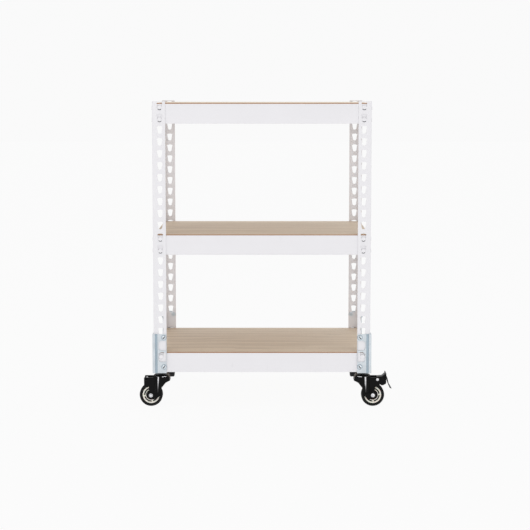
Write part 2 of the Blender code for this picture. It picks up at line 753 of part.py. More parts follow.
def main():
    for item in list(bpy.data.objects):
        bpy.data.objects.remove(item)
    finish = {
        "white": painted("white_powder_coat", (0.83, 0.82, 0.84), 0.42, 0.0),
        "wood": painted("light_oak_laminate", (0.56, 0.42, 0.29), 0.50, 0.0),
        "zinc": painted("zinc_plate", (0.66, 0.70, 0.74), 0.34, 1.0),
        "black": painted("black_enamel", (0.012, 0.012, 0.013), 0.30, 0.0),
        "chrome": painted("bright_steel", (0.74, 0.74, 0.76), 0.18, 1.0),
        "cream": painted("cream_nylon", (0.84, 0.82, 0.76), 0.38, 0.0),
        "rubber": painted("black_rubber", (0.016, 0.016, 0.017), 0.70, 0.0),
    }
    cart = pivot("trolley", None)
    add_frame(cart, finish)
    add_casters(cart, finish)
    centre_footprint(cart)


main()
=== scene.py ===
import math

import bmesh
import bpy
from mathutils import Matrix, Vector


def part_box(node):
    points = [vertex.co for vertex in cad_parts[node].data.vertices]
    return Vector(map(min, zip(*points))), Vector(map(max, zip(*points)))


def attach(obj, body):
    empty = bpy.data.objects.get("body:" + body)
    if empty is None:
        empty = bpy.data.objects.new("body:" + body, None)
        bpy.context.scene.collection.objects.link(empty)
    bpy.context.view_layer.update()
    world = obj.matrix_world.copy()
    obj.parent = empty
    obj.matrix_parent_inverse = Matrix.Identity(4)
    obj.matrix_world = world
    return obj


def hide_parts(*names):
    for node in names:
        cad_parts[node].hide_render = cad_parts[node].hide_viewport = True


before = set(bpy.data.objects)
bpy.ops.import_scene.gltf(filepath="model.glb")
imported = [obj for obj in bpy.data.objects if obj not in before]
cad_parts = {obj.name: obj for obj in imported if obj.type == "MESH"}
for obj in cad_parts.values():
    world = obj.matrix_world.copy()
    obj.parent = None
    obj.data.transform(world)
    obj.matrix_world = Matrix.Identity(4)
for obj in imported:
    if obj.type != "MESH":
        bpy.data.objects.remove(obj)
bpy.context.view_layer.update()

MM = 0.001

# ------------------------------------------------------------------ sizes shared with the solids, in metres
POST_SHEET = 1.8 * MM
SLOT_PITCH = 32.8 * MM
SLOT_HEIGHT = 21 * MM
SLOT_WIDTH = 16 * MM
SLOT_NECK = 10.5 * MM
SLOT_FROM_CORNER = 20.5 * MM
SLOT_RISE = 43.7 * MM
SLOT_COUNT = 22
CROWN_FLATNESS = 0.40
UNPUNCHED_SLOT = 1
BEAM_HEIGHT = 54 * MM
BEAM_SHEET = 1.5 * MM
WEB_FACE = 2.1 * MM
RIVET_DROP = 10.5 * MM
RIVET_SHANK = 4.6 * MM
RIVET_HEAD = 6.5 * MM
# Painted shade: the shadow under a rivet's head is painted on its rim from this far off its axis.
SHADE_FROM = 4.6 * MM
LEDGE_DROP = 10.1 * MM
LEDGE_WIDTH = 14 * MM
LEDGE_LIP = 6 * MM
RETURN_WIDTH = 10 * MM
FLANGE_SETBACK = 38 * MM
BRACKET_SHEET = 2 * MM
BRACKET_GAP = 0.3 * MM
BOLT_RADIUS = 3 * MM
BOLT_FROM_CORNER = 28.5 * MM
BOLT_RISES = (17.8 * MM, 100.4 * MM)
WINDOWS = ((31.8 * MM, 58.8 * MM), (63.8 * MM, 90.8 * MM))
WINDOW_EDGE = 13.5 * MM
WINDOW_WIDTH = 21.5 * MM
RIDGE_RISE = 1.1 * MM
RIDGE_WIDTH = 6.5 * MM
GROOVE_WIDTH = 6.4 * MM
GROOVE_DEPTH = 0.95 * MM
FORK_HALF = 15.1 * MM
FORK_INNER = 12.9 * MM
STEM_RADIUS = 5 * MM
AXLE_RADIUS = 3.1 * MM
PIN_RADIUS = 2.6 * MM
HINGE_REACH = 40.5 * MM
HINGE_DROP = 15.2 * MM
# Painted highlight on the fork's rib: the height where it starts and how softly it fades in.
GLINT_FROM = 60 * MM
GLINT_FADE = 17 * MM

SPOKES = 4
SPOKE_WIDTH = 12  # degrees
FIRST_SPOKE = 10  # degrees
POCKET_IN = 15.9 * MM
POCKET_OUT = 19.7 * MM

CAMERA_PLACE = (-0.0015, -3.9668, 0.8736)
CAMERA_TILT = 84.632
CAMERA_LENS = 92.80
CAMERA_SHIFT = -45 / 530
LIGHTS = {  # place, size and power
    "key": ((-1.3, -3.0, 1.3), 1.3, 11),
    "fill": ((1.6, -2.8, 0.7), 1.6, 8.5),
    "top": ((0.0, 0.3, 2.8), 2.0, 13),
}
BACKDROP = 0.955
SURROUND = 0.78
FLOOR_PAINT = 0.03
FLOOR_GLOW = 0.937
CORNERS = {"front_left": 0, "front_right": 90, "rear_right": 180, "rear_left": 270}
HEADINGS = {"front_left": 180, "front_right": 0, "rear_right": 90, "rear_left": 90}
BRAKED = ("front_right", "rear_left")
BOARD_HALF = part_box("top_board")[1].x


# ------------------------------------------------------------------ bench tools
def let_go():
    """Deselects everything."""
    bpy.ops.object.select_all(action="DESELECT")


def hold(*pieces):
    """Selects these pieces only, the first one active."""
    let_go()
    for piece in pieces:
        piece.select_set(True)
    bpy.context.view_layer.objects.active = pieces[0]


def settle(piece):
    """Puts a piece's place into its mesh, so that its object sits at the origin."""
    hold(piece)
    bpy.ops.object.transform_apply(location=True, rotation=True, scale=True)
    return piece


def named(name):
    """Names the piece that was just added and settles it."""
    piece = bpy.context.active_object
    piece.name = piece.data.name = name
    return settle(piece)


def block(name, low, high):
    """A block between two corners."""
    let_go()
    low, high = Vector(low), Vector(high)
    bpy.ops.mesh.primitive_cube_add(size=1, location=(low + high) / 2, scale=high - low)
    return named(name)


def bar(name, radius, start, end, sides=32):
    """A round bar between two points."""
    let_go()
    start, end = Vector(start), Vector(end)
    along = end - start
    turn = along.to_track_quat("Z", "Y").to_euler()
    bpy.ops.mesh.primitive_cylinder_add(
        vertices=sides, radius=radius, depth=along.length, location=(start + end) / 2, rotation=turn
    )
    return named(name)


def cross_bar(name, radius, x, z, reach, sides=32):
    """A round bar along Y that reaches as far on either side."""
    return bar(name, radius, (x, -reach, z), (x, reach, z), sides)


class Shaping:
    """Edit mode on one piece; pick() selects by place or normal, then any mesh operator works on it."""

    def __init__(self, piece):
        self.piece = piece

    def __enter__(self):
        hold(self.piece)
        bpy.ops.object.mode_set(mode="EDIT")
        return self

    def __exit__(self, *_):
        bpy.ops.object.mode_set(mode="OBJECT")

    def pick(self, kind, test):
        """Selects the verts, edges or faces for which test(centre, normal) holds; returns how many."""
        bpy.ops.mesh.select_mode(type={"verts": "VERT", "edges": "EDGE", "faces": "FACE"}[kind])
        bpy.ops.mesh.select_all(action="DESELECT")
        mesh = bmesh.from_edit_mesh(self.piece.data)
        count = 0
        for item in getattr(mesh, kind):
            if kind == "verts":
                centre, normal = item.co, item.normal
            elif kind == "edges":
                one, two = item.verts
                centre, normal = (one.co + two.co) / 2, (two.co - one.co).normalized()
            else:
                centre, normal = item.calc_center_median(), item.normal
            if test(centre, normal):
                item.select_set(True)
                count += 1
        bmesh.update_edit_mesh(self.piece.data)
        return count

    def everything(self):
        bpy.ops.mesh.select_all(action="SELECT")

    def slide(self, test, move):
        """Moves the verts for which test(place, normal) holds."""
        self.pick("verts", test)
        bpy.ops.transform.translate(value=move)

    def centre(self):
        """The middle of the selected verts."""
        mesh = bmesh.from_edit_mesh(self.piece.data)
        points = [vert.co for vert in mesh.verts if vert.select]
        return sum(points, Vector()) / len(points)


def pull(piece, test, move):
    """Extrudes the picked faces by a move."""
    with Shaping(piece) as edit:
        edit.pick("faces", test)
        bpy.ops.mesh.extrude_region_move(TRANSFORM_OT_translate={"value": move})


def round_edges(piece, axis, test, width, steps=3):
    """Bevels the edges that run along an axis, or any way for "", and whose middle passes a test."""
    with Shaping(piece) as edit:
        if edit.pick("edges", lambda p, n: (not axis or abs(n["XYZ".index(axis)]) > 0.9) and test(p)):
            bpy.ops.mesh.bevel(offset=width, segments=steps, affect="EDGES")
    return piece


def shave(piece, point, normal):
    """Cuts away all that lies beyond a plane and closes the cut."""
    with Shaping(piece) as edit:
        edit.everything()
        bpy.ops.mesh.bisect(plane_co=point, plane_no=normal, clear_outer=True, use_fill=True)
    return piece


def trim(piece, height, *cuts):
    """Shaves a piece in its side view; a cut is its point's x and rise in mm, then its normal's x and z."""
    for x, rise, normal_x, normal_z in cuts:
        shave(piece, (x * MM, 0, height + rise * MM), (normal_x, 0, normal_z))
    return piece


def modify(piece, kind, **settings):
    """Adds a modifier and applies it."""
    hold(piece)
    modifier = piece.modifiers.new(kind.title(), kind)
    for key, value in settings.items():
        setattr(modifier, key, value)
    bpy.ops.object.modifier_apply(modifier=modifier.name)
    return piece


def combine(piece, operation, tools):
    """Joins tools to a piece, or cuts them out of it, and throws them away."""
    for tool in tools:
        modify(piece, "BOOLEAN", operation=operation, object=tool, solver="EXACT")
        bpy.data.objects.remove(tool)
    return piece


def weld(piece, *tools):
    return combine(piece, "UNION", tools)


def cut(piece, *tools):
    return combine(piece, "DIFFERENCE", tools)


def gather(pieces):
    """Joins separate shapes into the first piece without welding them."""
    hold(*pieces)
    bpy.ops.object.join()
    return bpy.context.active_object


def soften(piece, width, steps=2, angle=35):
    """Breaks every edge sharper than an angle."""
    return modify(
        piece,
        "BEVEL",
        width=width,
        segments=steps,
        limit_method="ANGLE",
        angle_limit=math.radians(angle),
        harden_normals=False,
        use_clamp_overlap=True,
    )


def smooth(piece, angle=35):
    hold(piece)
    bpy.ops.object.shade_smooth_by_angle(angle=math.radians(angle))
    return piece


def turned(name, profile, steps=48, loop=False):
    """A part turned about Z from (radius, height) points; a loop profile makes a ring."""
    let_go()
    bpy.ops.mesh.primitive_plane_add(size=MM)
    piece = bpy.context.active_object
    with Shaping(piece) as edit:
        edit.everything()
        bpy.ops.mesh.merge(type="CENTER")
        edit.pick("verts", lambda centre, normal: True)
        points = [Vector((radius, 0, height)) for radius, height in profile]
        bpy.ops.transform.translate(value=points[0])
        for before, after in zip(points, points[1:] + (points[:1] if loop else [])):
            bpy.ops.mesh.extrude_vertices_move(TRANSFORM_OT_translate={"value": after - before})
        edit.everything()
        bpy.ops.mesh.remove_doubles(threshold=0.002 * MM)
        bpy.ops.mesh.spin(steps=steps, angle=2 * math.pi, center=(0, 0, 0), axis=(0, 0, 1))
        edit.everything()
        bpy.ops.mesh.remove_doubles(threshold=0.002 * MM)
        bpy.ops.mesh.normals_make_consistent(inside=False)
    return named(name)


def dome(radius, base, rise, step=15):
    """Profile points of a round crown, from near its top out to its rim."""
    turns = [math.radians(a) for a in reversed(range(0, 90, step))]
    return [(radius * math.cos(turn), base + rise * math.sin(turn)) for turn in turns]


def both_faces(side):
    """A profile and its mirror image below z = 0."""
    return side + [(radius, -height) for radius, height in reversed(side)]


def in_mm(*points):
    return [(radius * MM, height * MM) for radius, height in points]


def moved(piece, matrix):
    """Moves a piece's mesh by a matrix."""
    piece.data.transform(matrix)
    return piece


def copy_at(master, name, matrix):
    """A copy of a master piece with a mesh of its own, put in place."""
    copy = master.copy()
    copy.data = master.data.copy()
    copy.name = copy.data.name = name
    bpy.context.scene.collection.objects.link(copy)
    return moved(copy, matrix)


def fit(master, name, matrix, body, slot, *nodes):
    """Places a copy, makes it ride a body and hides the solids it stands for; its slot argument is not used.
    """
    piece = copy_at(master, name, matrix)
    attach(piece, body)
    if nodes:
        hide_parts(*nodes)
    return piece


def scrap(*masters):
    for master in masters:
        bpy.data.objects.remove(master)


def spun(degrees, axis="Z"):
    return Matrix.Rotation(math.radians(degrees), 4, axis)


def at(x=0.0, y=0.0, z=0.0):
    return Matrix.Translation((x, y, z))


def lying(piece, angle=32):
    """Lays a turned piece along Y and smooths it."""
    return smooth(moved(piece, spun(-90, "X")), angle)


def number_faces(piece, count, number):
    """Adds empty material slots and gives each face the one that number(face) says."""
    for _ in range(count):
        piece.data.materials.append(None)
    for face in piece.data.polygons:
        face.material_index = number(face)


SWAP_LEGS = Matrix(((0, 1, 0, 0), (1, 0, 0, 0), (0, 0, 1, 0), (0, 0, 0, 1)))


# ------------------------------------------------------------------ shader bench
class Wire:
    """A value socket that Python expressions work on; each operation adds its Math node."""

    def __init__(self, finish, socket):
        self.finish = finish
        self.socket = socket

    def _math(self, operation, *values):
        return self.finish.node(
            "ShaderNodeMath", {"operation": operation}, {i: v for i, v in enumerate(values)}
        )

    def __add__(self, other):
        return self._math("ADD", self, other)

    def __sub__(self, other):
        return self._math("SUBTRACT", self, other)

    def __rsub__(self, other):
        return self._math("SUBTRACT", other, self)

    def __mul__(self, other):
        return self._math("MULTIPLY", self, other)

    def __truediv__(self, other):
        return self._math("DIVIDE", self, other)

    def above(self, edge, soft=0.05):
        """0 below an edge, 1 above it, with a soft step."""
        return self.finish.node(
            "ShaderNodeMapRange",
            {"interpolation_type": "SMOOTHSTEP"},
            {"Value": self, "From Min": edge - soft, "From Max": edge + soft},
        )

    __radd__ = __add__
    __rmul__ = __mul__


class Finish:
    """A material with a Principled shader and one way to add any other node."""

    def __init__(self, name, colour, roughness, metallic=0.0, **fixed):
        self.material = bpy.data.materials.new(name)
        self.material.use_nodes = True
        self.tree = self.material.node_tree
        self.shader = self.tree.nodes["Principled BSDF"]
        self.set("Base Color", (*colour, 1.0))
        self.set("Roughness", roughness)
        self.set("Metallic", metallic)
        for key, value in fixed.items():
            self.set(key.replace("_", " "), value)

    def set(self, key, value):
        self.feed(self.shader.inputs[key], value)

    def feed(self, socket, value):
        if isinstance(value, Wire):
            self.tree.links.new(value.socket, socket)
        else:
            socket.default_value = value

    def node(self, kind, settings=None, inputs=None, out=0):
        made = self.tree.nodes.new(kind)
        for key, value in (settings or {}).items():
            if key == "stops":
                self._stops(made.color_ramp, value)
            else:
                setattr(made, key, value)
        for key, value in (inputs or {}).items():
            self.feed(made.inputs[key], value)
        return Wire(self, made.outputs[out])

    def _stops(self, ramp, stops):
        while len(ramp.elements) < len(stops):
            ramp.elements.new(0.5)
        for element, (place, colour) in zip(ramp.elements, stops):
            element.position = place
            element.color = (*colour, 1.0)

    def place(self, scale=(1, 1, 1), shift=(0, 0, 0)):
        """Object coordinates, scaled and shifted."""
        coordinates = self.node("ShaderNodeTexCoord", out="Object")
        return self.node(
            "ShaderNodeMapping",
            {"vector_type": "POINT"},
            {"Vector": coordinates, "Location": shift, "Scale": scale},
        )

    def noise(self, scale, detail=3.0, rough=0.5, distortion=0.0, stretch=(1, 1, 1), shift=(0, 0, 0)):
        """Noise from 0 to 1 on Object coordinates; a stretch under 1 draws it out along that axis."""
        sockets = {"Vector": self.place(scale=stretch, shift=shift), "Scale": scale, "Detail": detail}
        sockets.update({"Roughness": rough, "Distortion": distortion})
        return self.node("ShaderNodeTexNoise", {"noise_dimensions": "3D"}, sockets)

    def mix(self, factor, one, two):
        """Mixes two colours."""
        return self.node("ShaderNodeMix", {"data_type": "RGBA"}, {0: factor, 6: one, 7: two}, out=2)

    def bump(self, height, distance, strength=1.0):
        sockets = {"Height": height, "Distance": distance, "Strength": strength}
        self.set("Normal", self.node("ShaderNodeBump", None, sockets))


def tint(colour, factor):
    """A colour made lighter or darker."""
    return (*[min(1.0, channel * factor) for channel in colour], 1.0)


def powder_coat():
    """Satin white powder coat: a fine orange peel, faint handling marks, slightly uneven gloss."""
    white = (0.80, 0.79, 0.815)
    finish = Finish("white_powder_coat", white, 0.42, Specular_IOR_Level=0.45)
    cloud = finish.noise(9.0, 4.0)
    peel = finish.noise(1400.0, 2.0)
    scuff = finish.noise(60.0, 6.0, 0.7, stretch=(1, 1, 0.25)).above(0.66, 0.04)
    base = finish.mix(cloud, tint(white, 0.975), tint(white, 1.02))
    finish.set("Base Color", finish.mix(scuff * 0.25, base, (0.68, 0.67, 0.68, 1)))
    finish.set("Roughness", 0.36 + cloud * 0.10 + scuff * 0.12)
    finish.bump(peel * 0.7 + cloud * 0.3, 0.05 * MM, 0.5)
    return finish.material


def oak_board(shift):
    """Light oak laminate: long grain along X with cathedral figure, pores and a satin film."""
    finish = Finish("oak_laminate", (0.56, 0.44, 0.31), 0.48, Specular_IOR_Level=0.22)
    warp = finish.noise(1.6, 3.0, stretch=(1, 7, 7), shift=shift)
    streak = finish.noise(3.2, 6.0, 0.62, 0.35, stretch=(0.9, 26, 26), shift=shift)
    fine = finish.noise(4.0, 5.0, 0.7, stretch=(3, 150, 150), shift=shift)
    rings = finish.node(
        "ShaderNodeTexWave",
        {"wave_type": "BANDS", "bands_direction": "Y", "wave_profile": "SAW"},
        {
            "Vector": finish.place(scale=(0.22, 1.0, 1.0), shift=shift),
            "Scale": 7.5,
            "Distortion": 9.0,
            "Detail": 3.0,
            "Detail Scale": 1.2,
            "Detail Roughness": 0.55,
        },
    )
    pores = finish.noise(5.0, 2.0, stretch=(14, 420, 420), shift=shift).above(0.63, 0.05)
    # Painted light: the boards turn paler towards their +X end, for the stronger light on that side.
    across = finish.node("ShaderNodeSeparateXYZ", None, {"Vector": finish.place()})
    to_right = across / BOARD_HALF * 0.5 + 0.5
    grain = streak * 0.55 + rings * 0.15 + fine * 0.30
    base = finish.node(
        "ShaderNodeValToRGB",
        {
            "stops": [
                (0.30, (0.43, 0.315, 0.215)),
                (0.43, (0.60, 0.465, 0.335)),
                (0.54, (0.72, 0.575, 0.43)),
                (0.68, (0.80, 0.665, 0.51)),
            ]
        },
        {"Fac": grain},
    )
    greyed = finish.mix(warp * 0.5, base, (0.60, 0.525, 0.44, 1))
    lit_to_right = finish.mix(to_right * 0.35, greyed, (0.86, 0.75, 0.61, 1))
    finish.set("Base Color", finish.mix(pores * 0.35, lit_to_right, (0.36, 0.26, 0.175, 1)))
    finish.set("Roughness", 0.42 + fine * 0.14)
    finish.bump(grain * 0.6 - pores * 0.5, 0.10 * MM, 0.5)
    return finish.material


def board_edge():
    """The brown edge band round a board, with short streaks and chipped spots."""
    finish = Finish("brown_edge_band", (0.38, 0.18, 0.08), 0.55, Specular_IOR_Level=0.2)
    streak = finish.noise(4.0, 4.0, 0.6, stretch=(5, 5, 160))
    chips = finish.noise(240.0, 3.0).above(0.70, 0.03)
    base = finish.mix(streak, (0.30, 0.13, 0.055, 1), (0.50, 0.26, 0.12, 1))
    finish.set("Base Color", finish.mix(chips * 0.4, base, (0.55, 0.42, 0.29, 1)))
    finish.set("Roughness", 0.48 + streak * 0.15)
    finish.bump(streak - chips, 0.08 * MM, 0.5)
    return finish.material


def zinc_plate(name="zinc_plate", scale=1.0):
    """Bright bluish zinc plating: faint spangle, drawn streaks and duller patches."""
    zinc = (0.64, 0.69, 0.73)
    finish = Finish(name, zinc, 0.30, 1.0)
    grid = {"Vector": finish.place(), "Scale": 190.0 * scale}
    spangle = finish.node("ShaderNodeTexVoronoi", {"feature": "F1"}, grid, out="Color")
    flake = finish.node("ShaderNodeSeparateColor", None, {"Color": spangle})
    drawn = finish.noise(9.0 * scale, 4.0, 0.6, stretch=(60, 60, 4))
    patch = finish.noise(38.0 * scale, 5.0, 0.6)
    base = finish.mix(patch, tint(zinc, 0.82), tint(zinc, 1.12))
    finish.set("Base Color", finish.mix(flake * 0.16, base, (0.82, 0.86, 0.89, 1)))
    finish.set("Roughness", 0.22 + patch * 0.18 + flake * 0.08)
    finish.bump(drawn * 0.6 + flake * 0.4, 0.03 * MM, 0.45)
    return finish.material


def painted_shade_zinc():
    """Painted shade: a patchy darker blue zinc for the shade in the bracket's pressed groove and round the
    bolt heads on their washers.
    """
    blue = (0.36, 0.44, 0.50)
    finish = Finish("painted_shade_zinc", blue, 0.42, 0.9)
    patch = finish.noise(120.0, 5.0, 0.6, stretch=(1, 1, 0.3))
    finish.set("Base Color", finish.mix(patch, tint(blue, 0.80), tint(blue, 1.25)))
    finish.set("Roughness", 0.34 + patch * 0.2)
    finish.bump(patch, 0.03 * MM, 0.4)
    return finish.material


def painted_recess_shade():
    """Painted shade: a near-black grimy colour for the shadow under the rivet heads, in the bolt slots and
    round the bolt heads' rims.
    """
    finish = Finish("painted_recess_shade", (0.06, 0.065, 0.07), 0.6, 0.4)
    crumbs = finish.noise(700.0, 4.0, 0.6)
    finish.set("Base Color", finish.mix(crumbs, (0.03, 0.033, 0.036, 1), (0.12, 0.13, 0.14, 1)))
    finish.set("Roughness", 0.5 + crumbs * 0.25)
    return finish.material


def black_enamel():
    """Black enamel on pressed steel: deep gloss, soft orange peel and dust in the dull patches."""
    black = (0.003, 0.003, 0.0034)
    finish = Finish("black_enamel", black, 0.22, Specular_IOR_Level=0.10)
    dust = finish.noise(55.0, 6.0, 0.65)
    peel = finish.noise(750.0, 2.0)
    speck = dust.above(0.64, 0.08) * 0.5
    finish.set("Base Color", finish.mix(speck, tint(black, 1.0), (0.010, 0.010, 0.011, 1)))
    finish.set("Roughness", 0.16 + dust * 0.16)
    finish.bump(peel, 0.04 * MM, 0.4)
    return finish.material


def painted_highlight_enamel():
    """Painted highlight: bright metal in a ragged streak along the nose-side flank of a rib, strongest near
    its top, for the light caught there.
    """
    steel = (0.86, 0.86, 0.88)
    finish = Finish("painted_highlight_enamel", steel, 0.3, 1.0)
    ragged = finish.noise(420.0, 5.0, 0.65, stretch=(1, 1, 0.35)).above(0.38, 0.10)
    height = finish.node("ShaderNodeSeparateXYZ", None, {"Vector": finish.place()}, out="Z")
    glint = ragged * height.above(GLINT_FROM, GLINT_FADE)
    finish.set("Base Color", finish.mix(glint, (0.02, 0.02, 0.021, 1), (*steel, 1)))
    finish.set("Metallic", glint)
    finish.set("Roughness", 0.26 + glint * 0.1)
    return finish.material


def painted_sheen_enamel():
    """Painted sheen: a dark grey haze on the tail-side flank of a rib, for the dim highlight there."""
    grey = (0.055, 0.055, 0.058)
    finish = Finish("painted_sheen_enamel", grey, 0.4, Specular_IOR_Level=0.3)
    haze = finish.noise(260.0, 5.0, 0.65, stretch=(1, 1, 0.3))
    finish.set("Base Color", finish.mix(haze, tint(grey, 0.5), tint(grey, 1.5)))
    finish.set("Roughness", 0.34 + haze * 0.16)
    return finish.material


def bright_steel():
    """Polished steel with fine turning marks and slight tarnish."""
    steel = (0.72, 0.72, 0.74)
    finish = Finish("bright_steel", steel, 0.16, 1.0)
    tarnish = finish.noise(160.0, 5.0, 0.6)
    marks = finish.noise(900.0, 2.0, stretch=(1, 12, 1))
    finish.set("Base Color", finish.mix(tarnish, tint(steel, 0.80), tint(steel, 1.10)))
    finish.set("Roughness", 0.12 + tarnish * 0.16)
    finish.bump(marks, 0.015 * MM, 0.35)
    return finish.material


def cream_nylon():
    """Off-white moulded nylon: slight mottling, fine mould texture, a little floor grime."""
    cream = (0.82, 0.79, 0.71)
    finish = Finish("cream_nylon", cream, 0.36, Subsurface_Weight=0.06, Subsurface_Scale=0.002)
    mottle = finish.noise(70.0, 5.0, 0.6)
    texture = finish.noise(1100.0, 2.0)
    # Random patches of real floor grime on the nylon.
    grime_and_painted_shade = mottle.above(0.64, 0.08)
    base = finish.mix(mottle, tint(cream, 0.95), tint(cream, 1.04))
    finish.set("Base Color", finish.mix(grime_and_painted_shade * 0.22, base, (0.52, 0.48, 0.40, 1)))
    finish.set("Roughness", 0.30 + mottle * 0.14)
    finish.bump(texture, 0.02 * MM, 0.4)
    return finish.material


def black_rubber():
    """Matt black rubber with a dusty bloom and a fine grain."""
    rubber = (0.007, 0.007, 0.0075)
    finish = Finish("black_rubber", rubber, 0.72, Specular_IOR_Level=0.16)
    bloom = finish.noise(45.0, 6.0, 0.65)
    grain = finish.noise(1600.0, 3.0, 0.6)
    dusty = bloom.above(0.55, 0.18) * 0.7
    finish.set("Base Color", finish.mix(dusty, tint(rubber, 1.0), (0.022, 0.0215, 0.021, 1)))
    finish.set("Roughness", 0.60 + bloom * 0.25)
    finish.bump(grain, 0.05 * MM, 0.5)
    return finish.material


def paint(piece, *materials):
    """Gives a piece its materials in order; each face keeps its material's number."""
    numbers = [face.material_index for face in piece.data.polygons]
    piece.data.materials.clear()
    for material in materials:
        piece.data.materials.append(material)
    for face, number in zip(piece.data.polygons, numbers):
        face.material_index = min(number, len(materials) - 1)
    return piece


# ------------------------------------------------------------------ places taken from the solids
def corner_point(corner):
    """The outer corner of a post, in plan."""
    low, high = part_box(f"{corner}_post")
    return (
        low.x if corner.endswith("left") else high.x,
        low.y if corner.startswith("front") else high.y,
    )


def corner_matrix(corner):
    x, y = corner_point(corner)
    return at(x, y) @ spun(CORNERS[corner])


def middle(node):
    low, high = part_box(node)
    return (low + high) / 2


def swivel_matrix(corner):
    centre = middle(f"{corner}_stem")
    return at(centre.x, centre.y) @ spun(HEADINGS[corner])


POST_LOW, POST_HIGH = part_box("front_left_post")
POST_LEG = POST_HIGH.x - POST_LOW.x
BRACKET_LOW, BRACKET_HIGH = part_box("front_left_bracket")
BRACKET_LEG = BRACKET_HIGH.x - BRACKET_LOW.x
FORK_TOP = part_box("front_left_fork")[1].z
WHEEL_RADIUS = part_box("front_left_tyre")[1].z / 2
TYRE_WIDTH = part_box("front_left_tyre")[1].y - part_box("front_left_tyre")[0].y
TRAIL = middle("front_right_tyre").x - middle("front_right_stem").x
FRAME_MIDDLE = middle("top_board")


# ------------------------------------------------------------------ posts
def slot_tool():
    """The column of slots in one leg as a tool: each has a round neck below and a flat wide crown above."""
    seat = POST_LOW.z + SLOT_RISE
    tool = cross_bar("slot_tool", SLOT_WIDTH / 2, SLOT_FROM_CORNER, seat, 2 * POST_SHEET, 28)
    centre = (SLOT_FROM_CORNER, 0, seat)
    narrow = SLOT_NECK / SLOT_WIDTH
    lift = SLOT_HEIGHT - SLOT_NECK / 2 - CROWN_FLATNESS * SLOT_WIDTH / 2
    with Shaping(tool) as edit:
        edit.pick("verts", lambda p, n: p.z > seat + 0.01 * MM)
        bpy.ops.transform.resize(value=(1, 1, CROWN_FLATNESS), center_override=centre)
        bpy.ops.transform.translate(value=(0, 0, lift))
        edit.pick("verts", lambda p, n: p.z < seat + 0.01 * MM)
        bpy.ops.transform.resize(value=(narrow, 1, narrow), center_override=centre)
    modify(
        tool, "ARRAY", count=SLOT_COUNT, use_relative_offset=False, use_constant_offset=True,
        constant_offset_displace=(0, 0, SLOT_PITCH),
    )
    low = seat + (UNPUNCHED_SLOT - 0.4) * SLOT_PITCH
    high = seat + (UNPUNCHED_SLOT + 0.7) * SLOT_PITCH
    with Shaping(tool) as edit:
        edit.pick("verts", lambda p, n: low < p.z < high)
        bpy.ops.mesh.delete(type="VERT")
    return tool


def bolt_hole_tool(rise, depth):
    return cross_bar("hole_tool", BOLT_RADIUS + 0.3 * MM, BOLT_FROM_CORNER, BRACKET_LOW.z + rise, depth, 24)


def both_legs(tool):
    """A tool for the front leg and its twin for the side leg."""
    twin = copy_at(tool, "twin_tool", spun(90))
    return [tool, twin]


def make_post():
    """A cold-rolled angle with a rounded fold and a column of slots in each leg."""
    fold = 2.4 * MM
    post = block("post", (0, 0, POST_LOW.z), (POST_LEG, POST_LEG, POST_HIGH.z))
    round_edges(post, "Z", lambda p: max(p.x, p.y) < 0.1 * MM, fold, 5)
    near, far = POST_SHEET, 2 * POST_LEG
    inner = block("inner", (near, near, POST_LOW.z - MM), (far, far, POST_HIGH.z + MM))
    round_edges(inner, "Z", lambda p: max(p.x, p.y) < near + 0.1 * MM, fold - POST_SHEET / 2, 4)
    cut(post, inner)
    soften(post, 0.45 * MM, 2, 60)
    tools = both_legs(slot_tool())
    for rise in BOLT_RISES:
        tools += both_legs(bolt_hole_tool(rise, 2 * POST_SHEET))
    cut(post, *tools)
    return smooth(post, 40)


def build_posts(white):
    master = paint(make_post(), white)
    for corner in CORNERS:
        fit(master, f"{corner}_angle_post", corner_matrix(corner), "root", "white_paint", f"{corner}_post")
    scrap(master)


# ------------------------------------------------------------------ beams
def make_rivet():
    """A rivet about Z: domed head outside (+Z), shank, and the upset tail behind the web."""
    face = 0.1 * MM
    crown = 2.4 * MM
    back = -WEB_FACE - BEAM_SHEET
    profile = [
        (0, face + crown),
        *dome(RIVET_HEAD, face + 0.5 * MM, crown - 0.5 * MM),
        (RIVET_HEAD, face),
        (RIVET_SHANK, face),
        (RIVET_SHANK, back),
        (RIVET_SHANK * 1.25, back),
        (RIVET_SHANK * 1.15, back - 0.8 * MM),
        (RIVET_SHANK * 0.7, back - 1.3 * MM),
        (0, back - 1.4 * MM),
    ]
    return moved(turned("rivet", profile, 28), spun(90, "X"))


